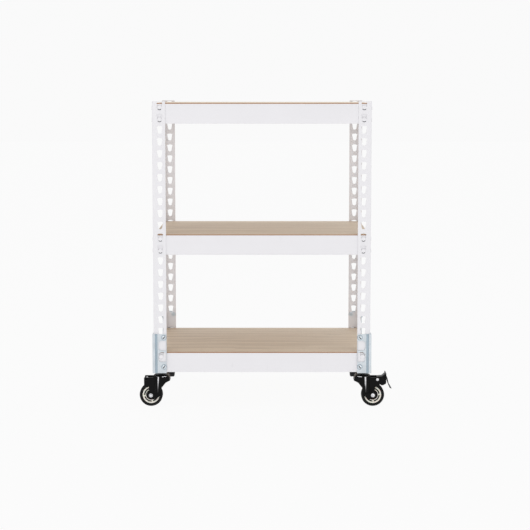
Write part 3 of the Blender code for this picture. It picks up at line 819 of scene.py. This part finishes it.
def make_beam(span, web_inset, bottom):
    """A folded beam along X, posts' face at y = 0 and top edge at z = 0, with its rivets."""
    half = span / 2
    flange = half - FLANGE_SETBACK
    web_half = half - web_inset
    back = WEB_FACE + BEAM_SHEET
    beam = block("beam", (-web_half, WEB_FACE, -BEAM_HEIGHT), (web_half, back, 0))
    low = -BEAM_HEIGHT
    with Shaping(beam) as edit:
        for side in (-1, 1):
            edit.everything()
            bpy.ops.mesh.bisect(plane_co=(side * flange, 0, 0), plane_no=(1, 0, 0))
        edit.everything()
        bpy.ops.mesh.bisect(plane_co=(0, 0, low + BEAM_SHEET), plane_no=(0, 0, 1))
    pull(beam, lambda p, n: n.y > 0.9 and abs(p.x) < MM and p.z < low + BEAM_SHEET, (0, RETURN_WIDTH, 0))
    round_edges(beam, "X", lambda p: p.y < WEB_FACE + 0.1 * MM and p.z < low + 0.1 * MM, 1.1 * MM, 4)
    round_edges(beam, "X", lambda p: p.z > -0.1 * MM, 0.5 * MM, 2)
    lip = back + LEDGE_WIDTH
    ledge = block("ledge", (-flange, back - 0.2 * MM, -LEDGE_DROP - BEAM_SHEET), (flange, lip, -LEDGE_DROP))
    with Shaping(ledge) as edit:
        edit.everything()
        bpy.ops.mesh.bisect(plane_co=(0, lip - BEAM_SHEET, 0), plane_no=(0, 1, 0))
    pull(ledge, lambda p, n: n.z < -0.9 and p.y > lip - BEAM_SHEET, (0, 0, BEAM_SHEET - LEDGE_LIP))
    round_edges(ledge, "X", lambda p: p.y > lip - 0.1 * MM, 0.7 * MM, 3)
    if bottom:
        for side in (-1, 1):
            hole = bolt_hole_tool(BOLT_RISES[0], 3 * back)
            lift = -(POST_LOW.z + SLOT_RISE + RIVET_DROP)
            moved(hole, at(-BOLT_FROM_CORNER + side * (half - BOLT_FROM_CORNER), 0, lift))
            cut(beam, hole)
    rivet = make_rivet()
    drops = (RIVET_DROP,) if bottom else (RIVET_DROP, RIVET_DROP + SLOT_PITCH)
    parts = [beam, ledge]
    for side in (-1, 1):
        for drop in drops:
            parts.append(copy_at(rivet, "rivet_copy", at(side * (half - SLOT_FROM_CORNER), 0, -drop)))
    scrap(rivet)
    beam = gather(parts)

    def under_rivet_shade(face):
        """Whether a face lies on the lower rim of a rivet's head; these faces get painted shade for the
        shadow under the head.
        """
        from_axis = [
            Vector((face.center.x - side * (half - SLOT_FROM_CORNER), face.center.z + drop))
            for side in (-1, 1)
            for drop in drops
        ]
        under = any(SHADE_FROM < v.length < RIVET_HEAD + MM and v.y < -0.70 * v.length for v in from_axis)
        return int(under and face.center.y < 0 and not bottom)

    number_faces(beam, 2, under_rivet_shade)
    return smooth(beam, 40)


def build_beams(white, grime_and_painted_shade):
    """Twelve beams: a long pair and a short pair at each of three levels."""
    span_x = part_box("front_right_post")[1].x - POST_LOW.x
    span_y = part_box("rear_left_post")[1].y - POST_LOW.y
    clear = WEB_FACE + BEAM_SHEET + 0.3 * MM
    sides = {
        "front": (span_x, WEB_FACE, 0, at(FRAME_MIDDLE.x, POST_LOW.y)),
        "rear": (span_x, WEB_FACE, 180, at(FRAME_MIDDLE.x, POST_LOW.y + span_y)),
        "right": (span_y, clear, 90, at(POST_LOW.x + span_x, FRAME_MIDDLE.y)),
        "left": (span_y, clear, 270, at(POST_LOW.x, FRAME_MIDDLE.y)),
    }
    masters = {}
    for level in ("bottom", "middle", "top"):
        for side, (span, inset, turn, place) in sides.items():
            key = (span, level == "bottom")
            if key not in masters:
                masters[key] = paint(make_beam(span, inset, level == "bottom"), white, grime_and_painted_shade)
            node = f"{level}_{side}_beam"
            home = at(z=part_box(node)[1].z) @ place @ spun(turn)
            fit(masters[key], f"{level}_{side}_shelf_beam", home, "root", "white_paint", node)
    scrap(*masters.values())


# ------------------------------------------------------------------ boards
def build_boards(edge):
    """Three loose boards: broken edges, laminate on both faces, a brown band round the sides."""
    for index, level in enumerate(("bottom", "middle", "top")):
        low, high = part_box(f"{level}_board")
        board = block(f"{level}_oak_board", low, high)
        round_edges(board, "", lambda p: True, 0.6 * MM, 3)
        paint(board, oak_board((0.37 * index, 0.83 * index, 0.19 * index)), edge)
        for face in board.data.polygons:
            face.material_index = 0 if abs(face.normal.z) > 0.8 else 1
        smooth(board, 40)
        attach(board, "root")
        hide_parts(f"{level}_board")


# ------------------------------------------------------------------ brackets, bolts and nuts
def window_tool(rise):
    """A window: generous round corners towards the post's corner, small ones on the free side."""
    low, high = (BRACKET_LOW.z + value for value in rise)
    near, far = WINDOW_EDGE, WINDOW_EDGE + WINDOW_WIDTH
    tool = block("window_tool", (near, -4 * BRACKET_SHEET, low), (far, 4 * BRACKET_SHEET, high))
    round_edges(tool, "Y", lambda p: p.x < near + MM, 8 * MM, 8)
    return round_edges(tool, "Y", lambda p: p.x > far - MM, 2.5 * MM, 4)


def make_bracket():
    """A pressed bracket: two legs, a plate under the post, and a raised rib along its corner."""
    outside = -BRACKET_GAP - BRACKET_SHEET
    reach = outside + BRACKET_LEG
    low, high = BRACKET_LOW.z, BRACKET_HIGH.z
    bracket = block("bracket", (outside, outside, low), (reach, reach, high))
    for across, along in ((0, "Y"), (1, "X")):
        round_edges(bracket, along, lambda p: p[across] > reach - MM and p.z > high - MM, 5 * MM, 5)
    round_edges(bracket, "", lambda p: p.z < low + 0.1 * MM, 1.2 * MM, 3)
    ridge_out = outside - RIDGE_RISE
    start = outside + RIDGE_WIDTH
    ridge = block("ridge", (ridge_out, ridge_out, low), (start, start, high))
    round_edges(ridge, "Z", lambda p: p.x < MM and p.y < MM, 2.6 * MM, 6)
    round_edges(ridge, "Z", lambda p: (p.x > MM) != (p.y > MM), 1.05 * MM, 4)
    weld(bracket, ridge)
    end, floor = start + GROOVE_WIDTH, outside + GROOVE_DEPTH
    groove = block("groove", (start, -4 * BRACKET_SHEET, low - MM), (end, floor, high + MM))
    round_edges(groove, "Z", lambda p: p.y > outside, 0.85 * MM, 4)
    twin = moved(copy_at(groove, "twin_groove", Matrix.Identity(4)), SWAP_LEGS)
    twin.data.flip_normals()
    cut(bracket, groove, twin)
    inside = -BRACKET_GAP
    inner = block("inner", (inside, inside, low + BRACKET_SHEET), (2 * reach, 2 * reach, high + reach))
    cut(bracket, inner)
    tools = []
    for rise in WINDOWS:
        tools += both_legs(window_tool(rise))
    for rise in BOLT_RISES:
        tools += both_legs(bolt_hole_tool(rise, 3 * BRACKET_SHEET))
    inset = middle("front_left_stem").x - POST_LOW.x
    stem_hole = STEM_RADIUS + 0.3 * MM
    tools.append(bar("stem_tool", stem_hole, (inset, inset, low - MM), (inset, inset, low + 4 * MM)))
    cut(bracket, *tools)
    skin = 0.05 * MM

    # Painted shade: the groove's walls and floor get the darker zinc, for the shade in the groove.
    def in_shaded_groove(face):
        near, far = sorted(face.center.xy)
        upright = abs(face.normal.z) < 0.5
        return int(upright and start - skin < far < end + skin and outside + skin < near < floor + skin)

    number_faces(bracket, 2, in_shaded_groove)
    return smooth(bracket, 38)


def make_bolt(grip):
    """A slotted pan-head bolt about Z, head up from z = 0, its shank down through the grip."""
    head = 6.2 * MM
    rise = 3.3 * MM
    crown = dome(head, 1.2 * MM, rise - 1.2 * MM)
    tip = -grip - 7 * MM
    shank = [(BOLT_RADIUS, 0)]
    turns = 7
    for step in range(turns):
        height = -grip + (tip + grip + MM) * step / turns
        shank += [(BOLT_RADIUS, height), (BOLT_RADIUS * 0.86, height - 0.45 * MM)]
    end = [(BOLT_RADIUS * 0.7, tip), (0, tip)]
    bolt = turned("bolt", [(0, rise), *crown, (head, 0.05 * MM), (head * 0.9, 0), *shank, *end], 32)
    slot_long, slot_half, slot_floor = 3.8 * MM, 1.15 * MM, rise - 1.8 * MM
    slot = block("slot", (-slot_long, -slot_half, slot_floor), (slot_long, slot_half, 2 * rise))
    round_edges(slot, "Z", lambda p: True, 0.7 * MM, 3)
    cut(bolt, slot)
    # The washer is there for painted shade: in darker zinc it draws the shaded outline round the head.
    bore, rim, under, over = BOLT_RADIUS, 7.5 * MM, -0.02 * MM, 0.55 * MM
    washer = [(bore, under), (rim, under), (rim, over), (bore, over)]
    bolt = gather([bolt, turned("washer", washer, 40, loop=True)])
    near = 0.01 * MM

    def finish_of(face):
        """2 on the washer, 1 in the slot and on the head's rim, 0 elsewhere; 1 and 2 are painted shade for
        the dark slot and the shaded outline of the head.
        """
        x, y, z = face.center
        if 0.1 * MM < z < 0.58 * MM:
            return 2
        in_slot = abs(y) < slot_half + near and abs(x) < slot_long + near and slot_floor - near < z < rise
        on_rim = abs(face.normal.z) < 0.35 and face.center.xy.length > 0.9 * head
        return int(in_slot or on_rim)

    number_faces(bolt, 3, finish_of)
    return smooth(bolt, 30)


def make_nut(across, height, bore, washer=0.0):
    """A chamfered hexagon nut about Z between z = 0 and its height, with a washer under it if asked."""
    nut = bar("nut", across, (0, 0, 0), (0, 0, height), sides=6)
    under, over, wide = -0.1 * MM, height + 0.1 * MM, across * 1.02
    crown = [
        (0, under), (across * 0.93, under), (wide, 0.5 * MM),
        (wide, height - 0.5 * MM), (across * 0.90, over), (0, over),
    ]
    combine(nut, "INTERSECT", [turned("crown", crown, 48)])
    cut(nut, bar("bore", bore, (0, 0, -MM), (0, 0, height + MM), 32))
    round_edges(nut, "Z", lambda p: p.xy.length > 0.8 * across, 0.25 * MM, 2)
    if not washer:
        return smooth(nut, 30)
    moved(nut, at(z=MM))
    rim = [(bore, 0), (washer, 0), (washer, 0.8 * MM), (washer - 0.15 * MM, 0.95 * MM), (bore, 0.95 * MM)]
    return smooth(gather([nut, turned("washer", rim, 48, loop=True)]), 30)


def build_brackets(zinc, bolt_zinc, painted_shade_zinc, grime_and_painted_shade):
    """Four brackets, each with two bolts and their nuts through either leg."""
    bracket = paint(make_bracket(), zinc, painted_shade_zinc)
    skin = -BRACKET_GAP - BRACKET_SHEET
    grips = {False: POST_SHEET - skin, True: WEB_FACE + BEAM_SHEET - skin}
    bolts = {low: paint(make_bolt(grip), bolt_zinc, grime_and_painted_shade, painted_shade_zinc) for low, grip in grips.items()}
    nut = paint(make_nut(5.75 * MM, 5 * MM, 2.95 * MM, 6.4 * MM), bolt_zinc)
    for corner, turn in CORNERS.items():
        home = corner_matrix(corner)
        fit(bracket, f"{corner}_caster_bracket", home, "root", "zinc_plate", f"{corner}_bracket")
        lean = 45 if corner.endswith("left") else -45
        for leg in (0, 1):
            to_leg = spun(90 * leg)
            side = 1 if leg == 0 else -1
            for rise in BOLT_RISES:
                low = rise == BOLT_RISES[0]
                across = at(BOLT_FROM_CORNER, 0, BRACKET_LOW.z + rise)
                mirror_leg = Matrix.Diagonal((1, side, 1, 1))
                outward = mirror_leg @ at(y=skin) @ spun(90, "X")
                inward = mirror_leg @ at(y=skin + grips[low] + 0.05 * MM) @ spun(-90, "X")
                label = f"{corner}_{('front', 'end')[leg]}_{'low' if low else 'high'}"
                angle = spun(side * lean + (rise * 9000) % 30)
                for piece, part, turn_in in ((bolts[low], "bolt", outward @ angle), (nut, "nut", inward)):
                    place = home @ to_leg @ across @ turn_in
                    made = fit(piece, f"{label}_{part}", place, "root", "zinc_plate")
                    if place.determinant() < 0:
                        made.data.flip_normals()
    scrap(bracket, nut, *bolts.values())


# ------------------------------------------------------------------ casters, with the swivel axis on Z
def make_fork():
    """The pressed fork: cheeks, round dome, nose, brake ears and a raised rib down each cheek."""
    top = FORK_TOP
    ear_top = top - 8.9 * MM
    knee = top - 42 * MM
    half = FORK_HALF
    wide = {"low": -half, "high": half}

    def slab(name, x0, x1, z0, z1):
        return block(name, (x0 * MM, wide["low"], z0), (x1 * MM, wide["high"], z1))

    column = slab("column", -12.7, 34, knee, ear_top)
    trim(column, knee, (0.5, 0, -0.79, -0.61))
    crest = slab("crest", -25.4, 21.5, top - 26 * MM, top)
    trim(
        crest, top, (21.5, -8.9, 0.52, 0.85), (14, -3, 0.38, 0.92), (-12.4, 0, -0.28, 0.96),
        (-18, -1.5, -0.74, 0.67), (-22, -6, -0.96, 0.28), (-25.4, -18, -0.47, -0.88),
        (21.5, -8.9, 0.62, -0.78),
    )
    ear = slab("ear", 20, 47, ear_top - 24.3 * MM, ear_top)
    round_edges(ear, "Y", lambda p: p.x > 46 * MM, 2.2 * MM, 4)
    leg = slab("leg", 0.5, 34.5, WHEEL_RADIUS, knee + MM)
    trim(leg, knee, (34.5, 0, 0.98, 0.20), (34.0, 0, 0.95, -0.30))
    chin = slab("chin", 2.2, 28, WHEEL_RADIUS - 11.5 * MM, WHEEL_RADIUS + MM)
    trim(chin, WHEEL_RADIUS, (2.2, -1, -0.66, -0.75))
    lobe = cross_bar("lobe", 11.5 * MM, TRAIL, WHEEL_RADIUS, half, 64)
    cap = [(0, -7), (21.3, -7), (21.5, -5.6), (20.4, -3.8), (17, -2), (12, -0.7), (8, 0), (0, 0)]
    round_top = turned("round_top", [(radius * MM, top + rise * MM) for radius, rise in cap], 72)
    fork = weld(crest, column, ear, leg, chin, lobe)
    hollow = slab("hollow", -23.2, 98, -WHEEL_RADIUS, 2 * top)
    moved(hollow, Matrix.Diagonal((1, FORK_INNER / half, 1, 1)))
    roof = slab("roof", -30, 23.7, top - 4.5 * MM, 3 * top)
    moved(roof, Matrix.Diagonal((1, 2, 1, 1)))
    brow = slab("brow", -40, -17.0, 0, 3 * top)
    trim(brow, top, (-19.6, -7, 0.90, -0.44))
    moved(brow, Matrix.Diagonal((1, 2, 1, 1)))
    cut(hollow, roof, brow)
    cut(fork, hollow)
    weld(fork, round_top)
    for side in (-1, 1):
        face, crest = side * (half - MM), side * (half + 1.5 * MM)
        low_y, high_y = min(face, crest), max(face, crest)
        rib = block("rib", (2.6 * MM, low_y, WHEEL_RADIUS + 6 * MM), (16.6 * MM, high_y, top - 4 * MM))
        with Shaping(rib) as edit:
            edit.slide(lambda p, n: abs(p.y) > half and p.x < 5 * MM and p.z > top / 2, (6.0 * MM, 0, 0))
            edit.slide(lambda p, n: abs(p.y) > half and p.x < 5 * MM and p.z < top / 2, (2.6 * MM, 0, 0))
            edit.slide(lambda p, n: abs(p.y) > half and p.x > 16 * MM, (-1.4 * MM, 0, 0))
            edit.slide(lambda p, n: abs(p.y) > half and p.z < top / 2, (0, 0, 3 * MM))
            edit.slide(lambda p, n: p.z < top / 2, (4 * MM, 0, 0))
        weld(fork, rib)
    cut(
        fork,
        bar("stem_tool", STEM_RADIUS + 0.35 * MM, (0, 0, top - 9 * MM), (0, 0, top + 9 * MM), 48),
        cross_bar("axle_tool", AXLE_RADIUS + 0.3 * MM, TRAIL, WHEEL_RADIUS, 2 * half),
        cross_bar("pin_tool", PIN_RADIUS, HINGE_REACH, top - HINGE_DROP, 2 * half, 24),
    )

    def flank(face):
        """1 on a rib's flank towards the nose, which gets a painted highlight, 2 on its flank towards the
        tail, which gets a painted dim sheen, 0 elsewhere.
        """
        x, y, z = face.normal
        on_flank = abs(face.center.y) > half and abs(x) > 0.15 and abs(y) > 0.6 and abs(z) < 0.3
        return (1 if x < 0 else 2) if on_flank else 0

    number_faces(fork, 3, flank)
    soften(fork, 0.45 * MM, 2, 40)
    return smooth(fork, 35)


def make_tyre():
    """The tyre about Z: round shoulders, two shallow grooves and a moulded line on either wall."""
    half = TYRE_WIDTH / 2
    outer = WHEEL_RADIUS
    bore = 24 * MM
    line = 1 - 0.35 * MM / half
    side = [(bore, 0.84 * half), (bore + 0.6 * MM, 0.93 * half)]
    side += [
        (outer - depth * MM, share * half)
        for depth, share in (
            (5.6, 1), (5.3, line), (4.7, line), (4.4, 1), (3.0, 0.985), (1.3, 0.91), (0.35, 0.78),
            (0, 0.62), (0, 0.40), (0.7, 0.36), (0.7, 0.28), (0, 0.24),
        )
    ]
    return lying(turned("tyre", both_faces(side), 120, loop=True))


def pocket_tool(start, sweep):
    """One curved pocket between the hub's rings, as a tool about Z that reaches out of the near side."""
    thin = 0.01 * MM
    tool = block("pocket_tool", (POCKET_IN, -thin, 5.2 * MM), (POCKET_OUT, thin, 20 * MM))
    with Shaping(tool) as edit:
        edit.pick("faces", lambda p, n: n.y > 0.9)
        bpy.ops.mesh.spin(steps=10, angle=math.radians(sweep), center=(0, 0, 0), axis=(0, 0, -1))
        edit.everything()
        bpy.ops.mesh.remove_doubles(threshold=0.002 * MM)
        bpy.ops.mesh.normals_make_consistent(inside=False)
    return moved(tool, spun(start))


def make_hub():
    """The wheel centre about Z: outer ring, curved pockets between short spokes, inner ring and boss."""
    side = in_mm(
        (3.4, 12), (8.4, 12), (9.0, 8.4), (13.7, 8.4), (13.9, 9.1), (14.2, 9.3), (15.3, 9.3), (15.7, 8.9),
        (15.9, 8.0), (19.7, 8.0), (20.1, 8.9), (20.7, 9.2), (23.0, 9.2), (23.7, 8.6),
    )
    hub = turned("hub", both_faces(side), 96, loop=True)
    for index in range(SPOKES):
        start = 360 / SPOKES * index + SPOKE_WIDTH / 2 + FIRST_SPOKE
        tool = pocket_tool(start, 360 / SPOKES - SPOKE_WIDTH)
        under = copy_at(tool, "under_tool", spun(180, "X"))
        cut(hub, tool, under)
    return lying(hub)


def make_core():
    """A black ring that shows at the bottom of the hub's pockets."""
    side = in_mm((15.2, 5.9), (17.8, 6.25), (20.4, 5.9))
    return lying(turned("core", both_faces(side), 96, loop=True))


def make_dust_ring():
    """A black ring round the bearing on either face of the wheel."""
    profile = in_mm((9.1, 8.8), (9.5, 9.2), (13.1, 9.2), (13.6, 8.7), (13.6, 8.5), (9.1, 8.5))
    near = turned("dust_ring", profile, 72, loop=True)
    far = copy_at(near, "far_ring", spun(180, "X"))
    return lying(gather([near, far]))


def make_axle():
    """The axle bolt about Y: a domed head on the near side and a rolled end inside its cap nut."""
    face = FORK_HALF + 0.1 * MM
    radius = 5.9 * MM
    end = face + 2.6 * MM
    head = [(0, -face - 3.4 * MM), *dome(radius, -face - 0.7 * MM, -2.7 * MM, 12), (radius, -face)]
    shank = [(AXLE_RADIUS, -face), (AXLE_RADIUS, end), (0, end)]
    return lying(turned("axle", head + shank, 40), 35)


def make_cap_nut():
    """The cap nut on the far cheek: a hexagon with a round crown."""
    face = FORK_HALF + 0.1 * MM
    nut = make_nut(6.0 * MM, 3.0 * MM, 3.2 * MM)
    crown = dome(4.6 * MM, 2.6 * MM, 3.4 * MM, 12)
    cap = turned("cap", [(0, 6.0 * MM), *crown, (4.6 * MM, 2.4 * MM), (0, 2.4 * MM)], 40)
    return lying(moved(gather([nut, cap]), at(z=face)), 35)


def make_stem():
    """Kingpin head, shank, collar and threaded stem in one."""
    low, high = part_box("front_left_stem")
    collar = FORK_TOP + 0.3 * MM
    thread = collar + 3.1 * MM
    pitch = 1.5 * MM
    head = low.z + 3 * MM
    profile = [
        (0, low.z), (6.8 * MM, low.z), (8.5 * MM, low.z + 0.9 * MM), (8.5 * MM, head), (STEM_RADIUS, head),
        (STEM_RADIUS, collar), (6.6 * MM, collar), (7.2 * MM, collar + 0.5 * MM),
        (7.2 * MM, thread - 0.5 * MM), (6.6 * MM, thread), (STEM_RADIUS * 0.9, thread),
    ]
    height = thread + pitch
    while height < high.z - pitch:
        profile += [(STEM_RADIUS, height), (STEM_RADIUS * 0.88, height + pitch / 2)]
        height += pitch
    profile += [(STEM_RADIUS * 0.75, high.z), (0, high.z)]
    return smooth(turned("stem", profile, 48), 25)


def make_pin():
    """The brake rivet about Y with a low dome at either end."""
    face = FORK_HALF + 0.2 * MM
    side = [
        (radius * MM, face + rise * MM)
        for radius, rise in ((0, 1.5), (2.2, 1.3), (3.6, 0.7), (4.0, 0), (2.3, 0))
    ]
    return lying(turned("pin", both_faces(side), 36), 35)


def make_pedal():
    """The brake lever about its pivot: an arm between the ears, a shoe over the tyre, a bent pedal blade."""
    half = FORK_INNER - 0.3 * MM
    wide = 19.9 * MM

    def slab(name, x0, x1, z0, z1, reach=half):
        return block(name, (x0 * MM, -reach, z0 * MM), (x1 * MM, reach, z1 * MM))

    arm = slab("arm", -6, 24.5, -14, 7.8)
    trim(arm, 0, (-6, 6.2, -0.084, 0.996), (4, -7, -0.925, -0.38), (22.5, -13, 0.775, -0.632))
    round_edges(arm, "Y", lambda p: p.x < -5 * MM, 3.0 * MM, 5)
    shoe = slab("shoe", 6.5, 24, -16.8, -8)
    trim(shoe, 0, (9.5, -15.6, -0.55, -0.83), (16, -16.8, 0.505, -0.863))
    brace = slab("brace", 12, 25.6, 5.5, 15.8)
    trim(brace, 0, (13, 7.8, -0.665, 0.747), (25.6, 6.0, 0.95, 0.31))
    arm = weld(arm, shoe, brace)
    hollow = slab("hollow", -12, 21.4, -11, 5.0, half - 2.2 * MM)
    trim(hollow, 0, (21.4, 5, 0.95, 0.30))
    cut(arm, hollow)

    blade = block("blade", (21.5 * MM, -wide, 16.9 * MM), (24.2 * MM, wide, 17.6 * MM))
    with Shaping(blade) as edit:
        edit.pick("faces", lambda p, n: n.z < -0.9)
        for x, z in ((23.0, 11.6), (25.85, 5.4), (27.5, -2.4), (29.4, -9.7), (31.9, -15.8), (34.8, -21.4)):
            centre = edit.centre()
            move = Vector((x * MM, 0, z * MM)) - centre
            bpy.ops.mesh.extrude_region_move(TRANSFORM_OT_translate={"value": move})
        edit.pick("faces", lambda p, n: n.z < -0.7 and p.z < -20 * MM)
        bpy.ops.mesh.extrude_region_move(TRANSFORM_OT_translate={"value": (3.3 * MM, 0, -3.4 * MM)})
    round_edges(blade, "", lambda p: abs(p.y) > wide - MM and p.z < -23 * MM, 3 * MM, 5)
    arm = weld(arm, blade)
    cut(
        arm,
        cross_bar("pin_tool", PIN_RADIUS, 0, 0, 2 * wide),
        cross_bar("side_tool", 2.3 * MM, 19.5 * MM, 4 * MM, 2 * wide),
    )
    soften(arm, 0.4 * MM, 2, 38)
    return smooth(arm, 35)


def build_casters(finishes):
    """Four casters; the two with foot brakes also carry a lever and its rivet."""
    zinc, black, steel, cream, rubber = (
        finishes[key] for key in ("zinc", "black", "steel", "cream", "rubber")
    )
    fork = paint(make_fork(), black, painted_highlight_enamel(), painted_sheen_enamel())
    tyre = paint(make_tyre(), rubber)
    hub = paint(make_hub(), cream)
    core = paint(make_core(), rubber)
    dust_ring = paint(make_dust_ring(), black)
    axle = paint(make_axle(), steel)
    cap = paint(make_cap_nut(), steel)
    stem = paint(make_stem(), zinc)
    low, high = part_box("front_left_stem_nut")
    stem_nut = paint(moved(make_nut((high.x - low.x) / 2, high.z - low.z, STEM_RADIUS), at(z=low.z)), zinc)
    low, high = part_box("front_left_swivel_race")
    rim, bore, slope = (high.x - low.x) / 2, STEM_RADIUS + 0.3 * MM, 1.2 * MM
    ring = [(bore, low.z), (rim - slope, low.z), (rim, low.z + slope), (rim, high.z), (bore, high.z)]
    race = paint(smooth(turned("race", ring, 64, loop=True), 35), zinc)
    pin = paint(make_pin(), steel)
    pedal = paint(make_pedal(), black)
    for index, corner in enumerate(CORNERS):
        home = swivel_matrix(corner)
        wheel = home @ at(TRAIL, 0, WHEEL_RADIUS)
        caster, rolling = f"{corner}_caster", f"{corner}_wheel"
        rows = [
            (stem, "kingpin", home, "root", "zinc_plate", "stem"),
            (stem_nut, "kingpin_nut", home, "root", "zinc_plate", "stem_nut"),
            (race, "bearing_race", home, "root", "zinc_plate", "swivel_race"),
            (fork, "pressed_fork", home, caster, "black_enamel", "fork"),
            (axle, "axle_bolt", wheel, caster, "bright_steel", "axle"),
            (cap, "cap_nut", wheel, caster, "bright_steel", "axle_nut"),
            (hub, "wheel_centre", wheel @ spun(7 * index, "Y"), rolling, "cream_nylon", "hub"),
            (core, "wheel_core", wheel, rolling, "black_tyre"),
            (dust_ring, "dust_ring", wheel, rolling, "black_tyre"),
            (tyre, "rubber_tyre", wheel, rolling, "black_tyre", "tyre"),
        ]
        if corner in BRAKED:
            hinge = home @ at(HINGE_REACH, 0, FORK_TOP - HINGE_DROP)
            rows += [
                (pin, "lever_rivet", hinge, caster, "bright_steel", "brake_pin"),
                (pedal, "foot_lever", hinge, f"{corner}_brake", "black_enamel", "brake_pedal"),
            ]
        for piece, label, place, body, slot, *nodes in rows:
            fit(piece, f"{corner}_{label}", place, body, slot, *(f"{corner}_{node}" for node in nodes))
    scrap(fork, tyre, hub, core, dust_ring, axle, cap, stem, stem_nut, race, pin, pedal)


# ------------------------------------------------------------------ floor, light and camera
def pale_floor():
    """A broad white floor."""
    let_go()
    bpy.ops.mesh.primitive_plane_add(size=40, location=(0, 0, 0))
    floor = named("floor")
    grey = (FLOOR_PAINT,) * 3
    finish = Finish("floor_paint", grey, 0.9, Specular_IOR_Level=0.0)
    mottle = finish.noise(2.0)
    finish.set("Base Color", finish.mix(mottle, tint(grey, 0.97), tint(grey, 1.03)))
    finish.set("Emission Color", (1, 1, 1, 1))
    finish.set("Emission Strength", FLOOR_GLOW)
    paint(floor, finish.material)
    return floor


def soft_light(name, place, size, power, aim=(0, 0, 0.42)):
    """A square soft light that faces a point."""
    let_go()
    facing = (Vector(place) - Vector(aim)).to_track_quat("Z", "Y").to_euler()
    bpy.ops.object.light_add(type="AREA", location=place, rotation=facing)
    lamp = bpy.context.active_object
    lamp.name = name
    lamp.data.shape = "SQUARE"
    lamp.data.size = size
    lamp.data.energy = power


def studio_world():
    """A white backdrop for the eye and a dimmer surround for light and reflections."""
    world = bpy.data.worlds.new("studio")
    bpy.context.scene.world = world
    world.use_nodes = True
    nodes, links = world.node_tree.nodes, world.node_tree.links
    path = nodes.new("ShaderNodeLightPath")
    level = nodes.new("ShaderNodeMapRange")
    level.inputs["To Min"].default_value = SURROUND
    level.inputs["To Max"].default_value = BACKDROP
    links.new(path.outputs["Is Camera Ray"], level.inputs["Value"])
    nodes["Background"].inputs["Color"].default_value = (1, 1, 1, 1)
    links.new(level.outputs["Result"], nodes["Background"].inputs["Strength"])


def front_camera():
    """The camera in front, a little above the top board, looking slightly down."""
    let_go()
    bpy.ops.object.camera_add(location=CAMERA_PLACE, rotation=(math.radians(CAMERA_TILT), 0, 0))
    camera = bpy.context.active_object
    camera.name = "front_camera"
    camera.data.sensor_width = 36
    camera.data.lens = CAMERA_LENS
    camera.data.shift_y = CAMERA_SHIFT
    bpy.context.scene.camera = camera


def main():
    bpy.context.scene.view_settings.view_transform = "Standard"
    finishes = {
        "white": powder_coat(),
        "edge": board_edge(),
        "zinc": zinc_plate(),
        "black": black_enamel(),
        "steel": bright_steel(),
        "cream": cream_nylon(),
        "rubber": black_rubber(),
        "grime_and_painted_shade": painted_recess_shade(),
    }
    build_posts(finishes["white"])
    build_beams(finishes["white"], finishes["grime_and_painted_shade"])
    build_boards(finishes["edge"])
    build_brackets(finishes["zinc"], zinc_plate("bolt_zinc", 2.2), painted_shade_zinc(), finishes["grime_and_painted_shade"])
    build_casters(finishes)
    for name, (place, size, power) in LIGHTS.items():
        soft_light(name, place, size, power)
    pale_floor()
    studio_world()
    front_camera()


main()
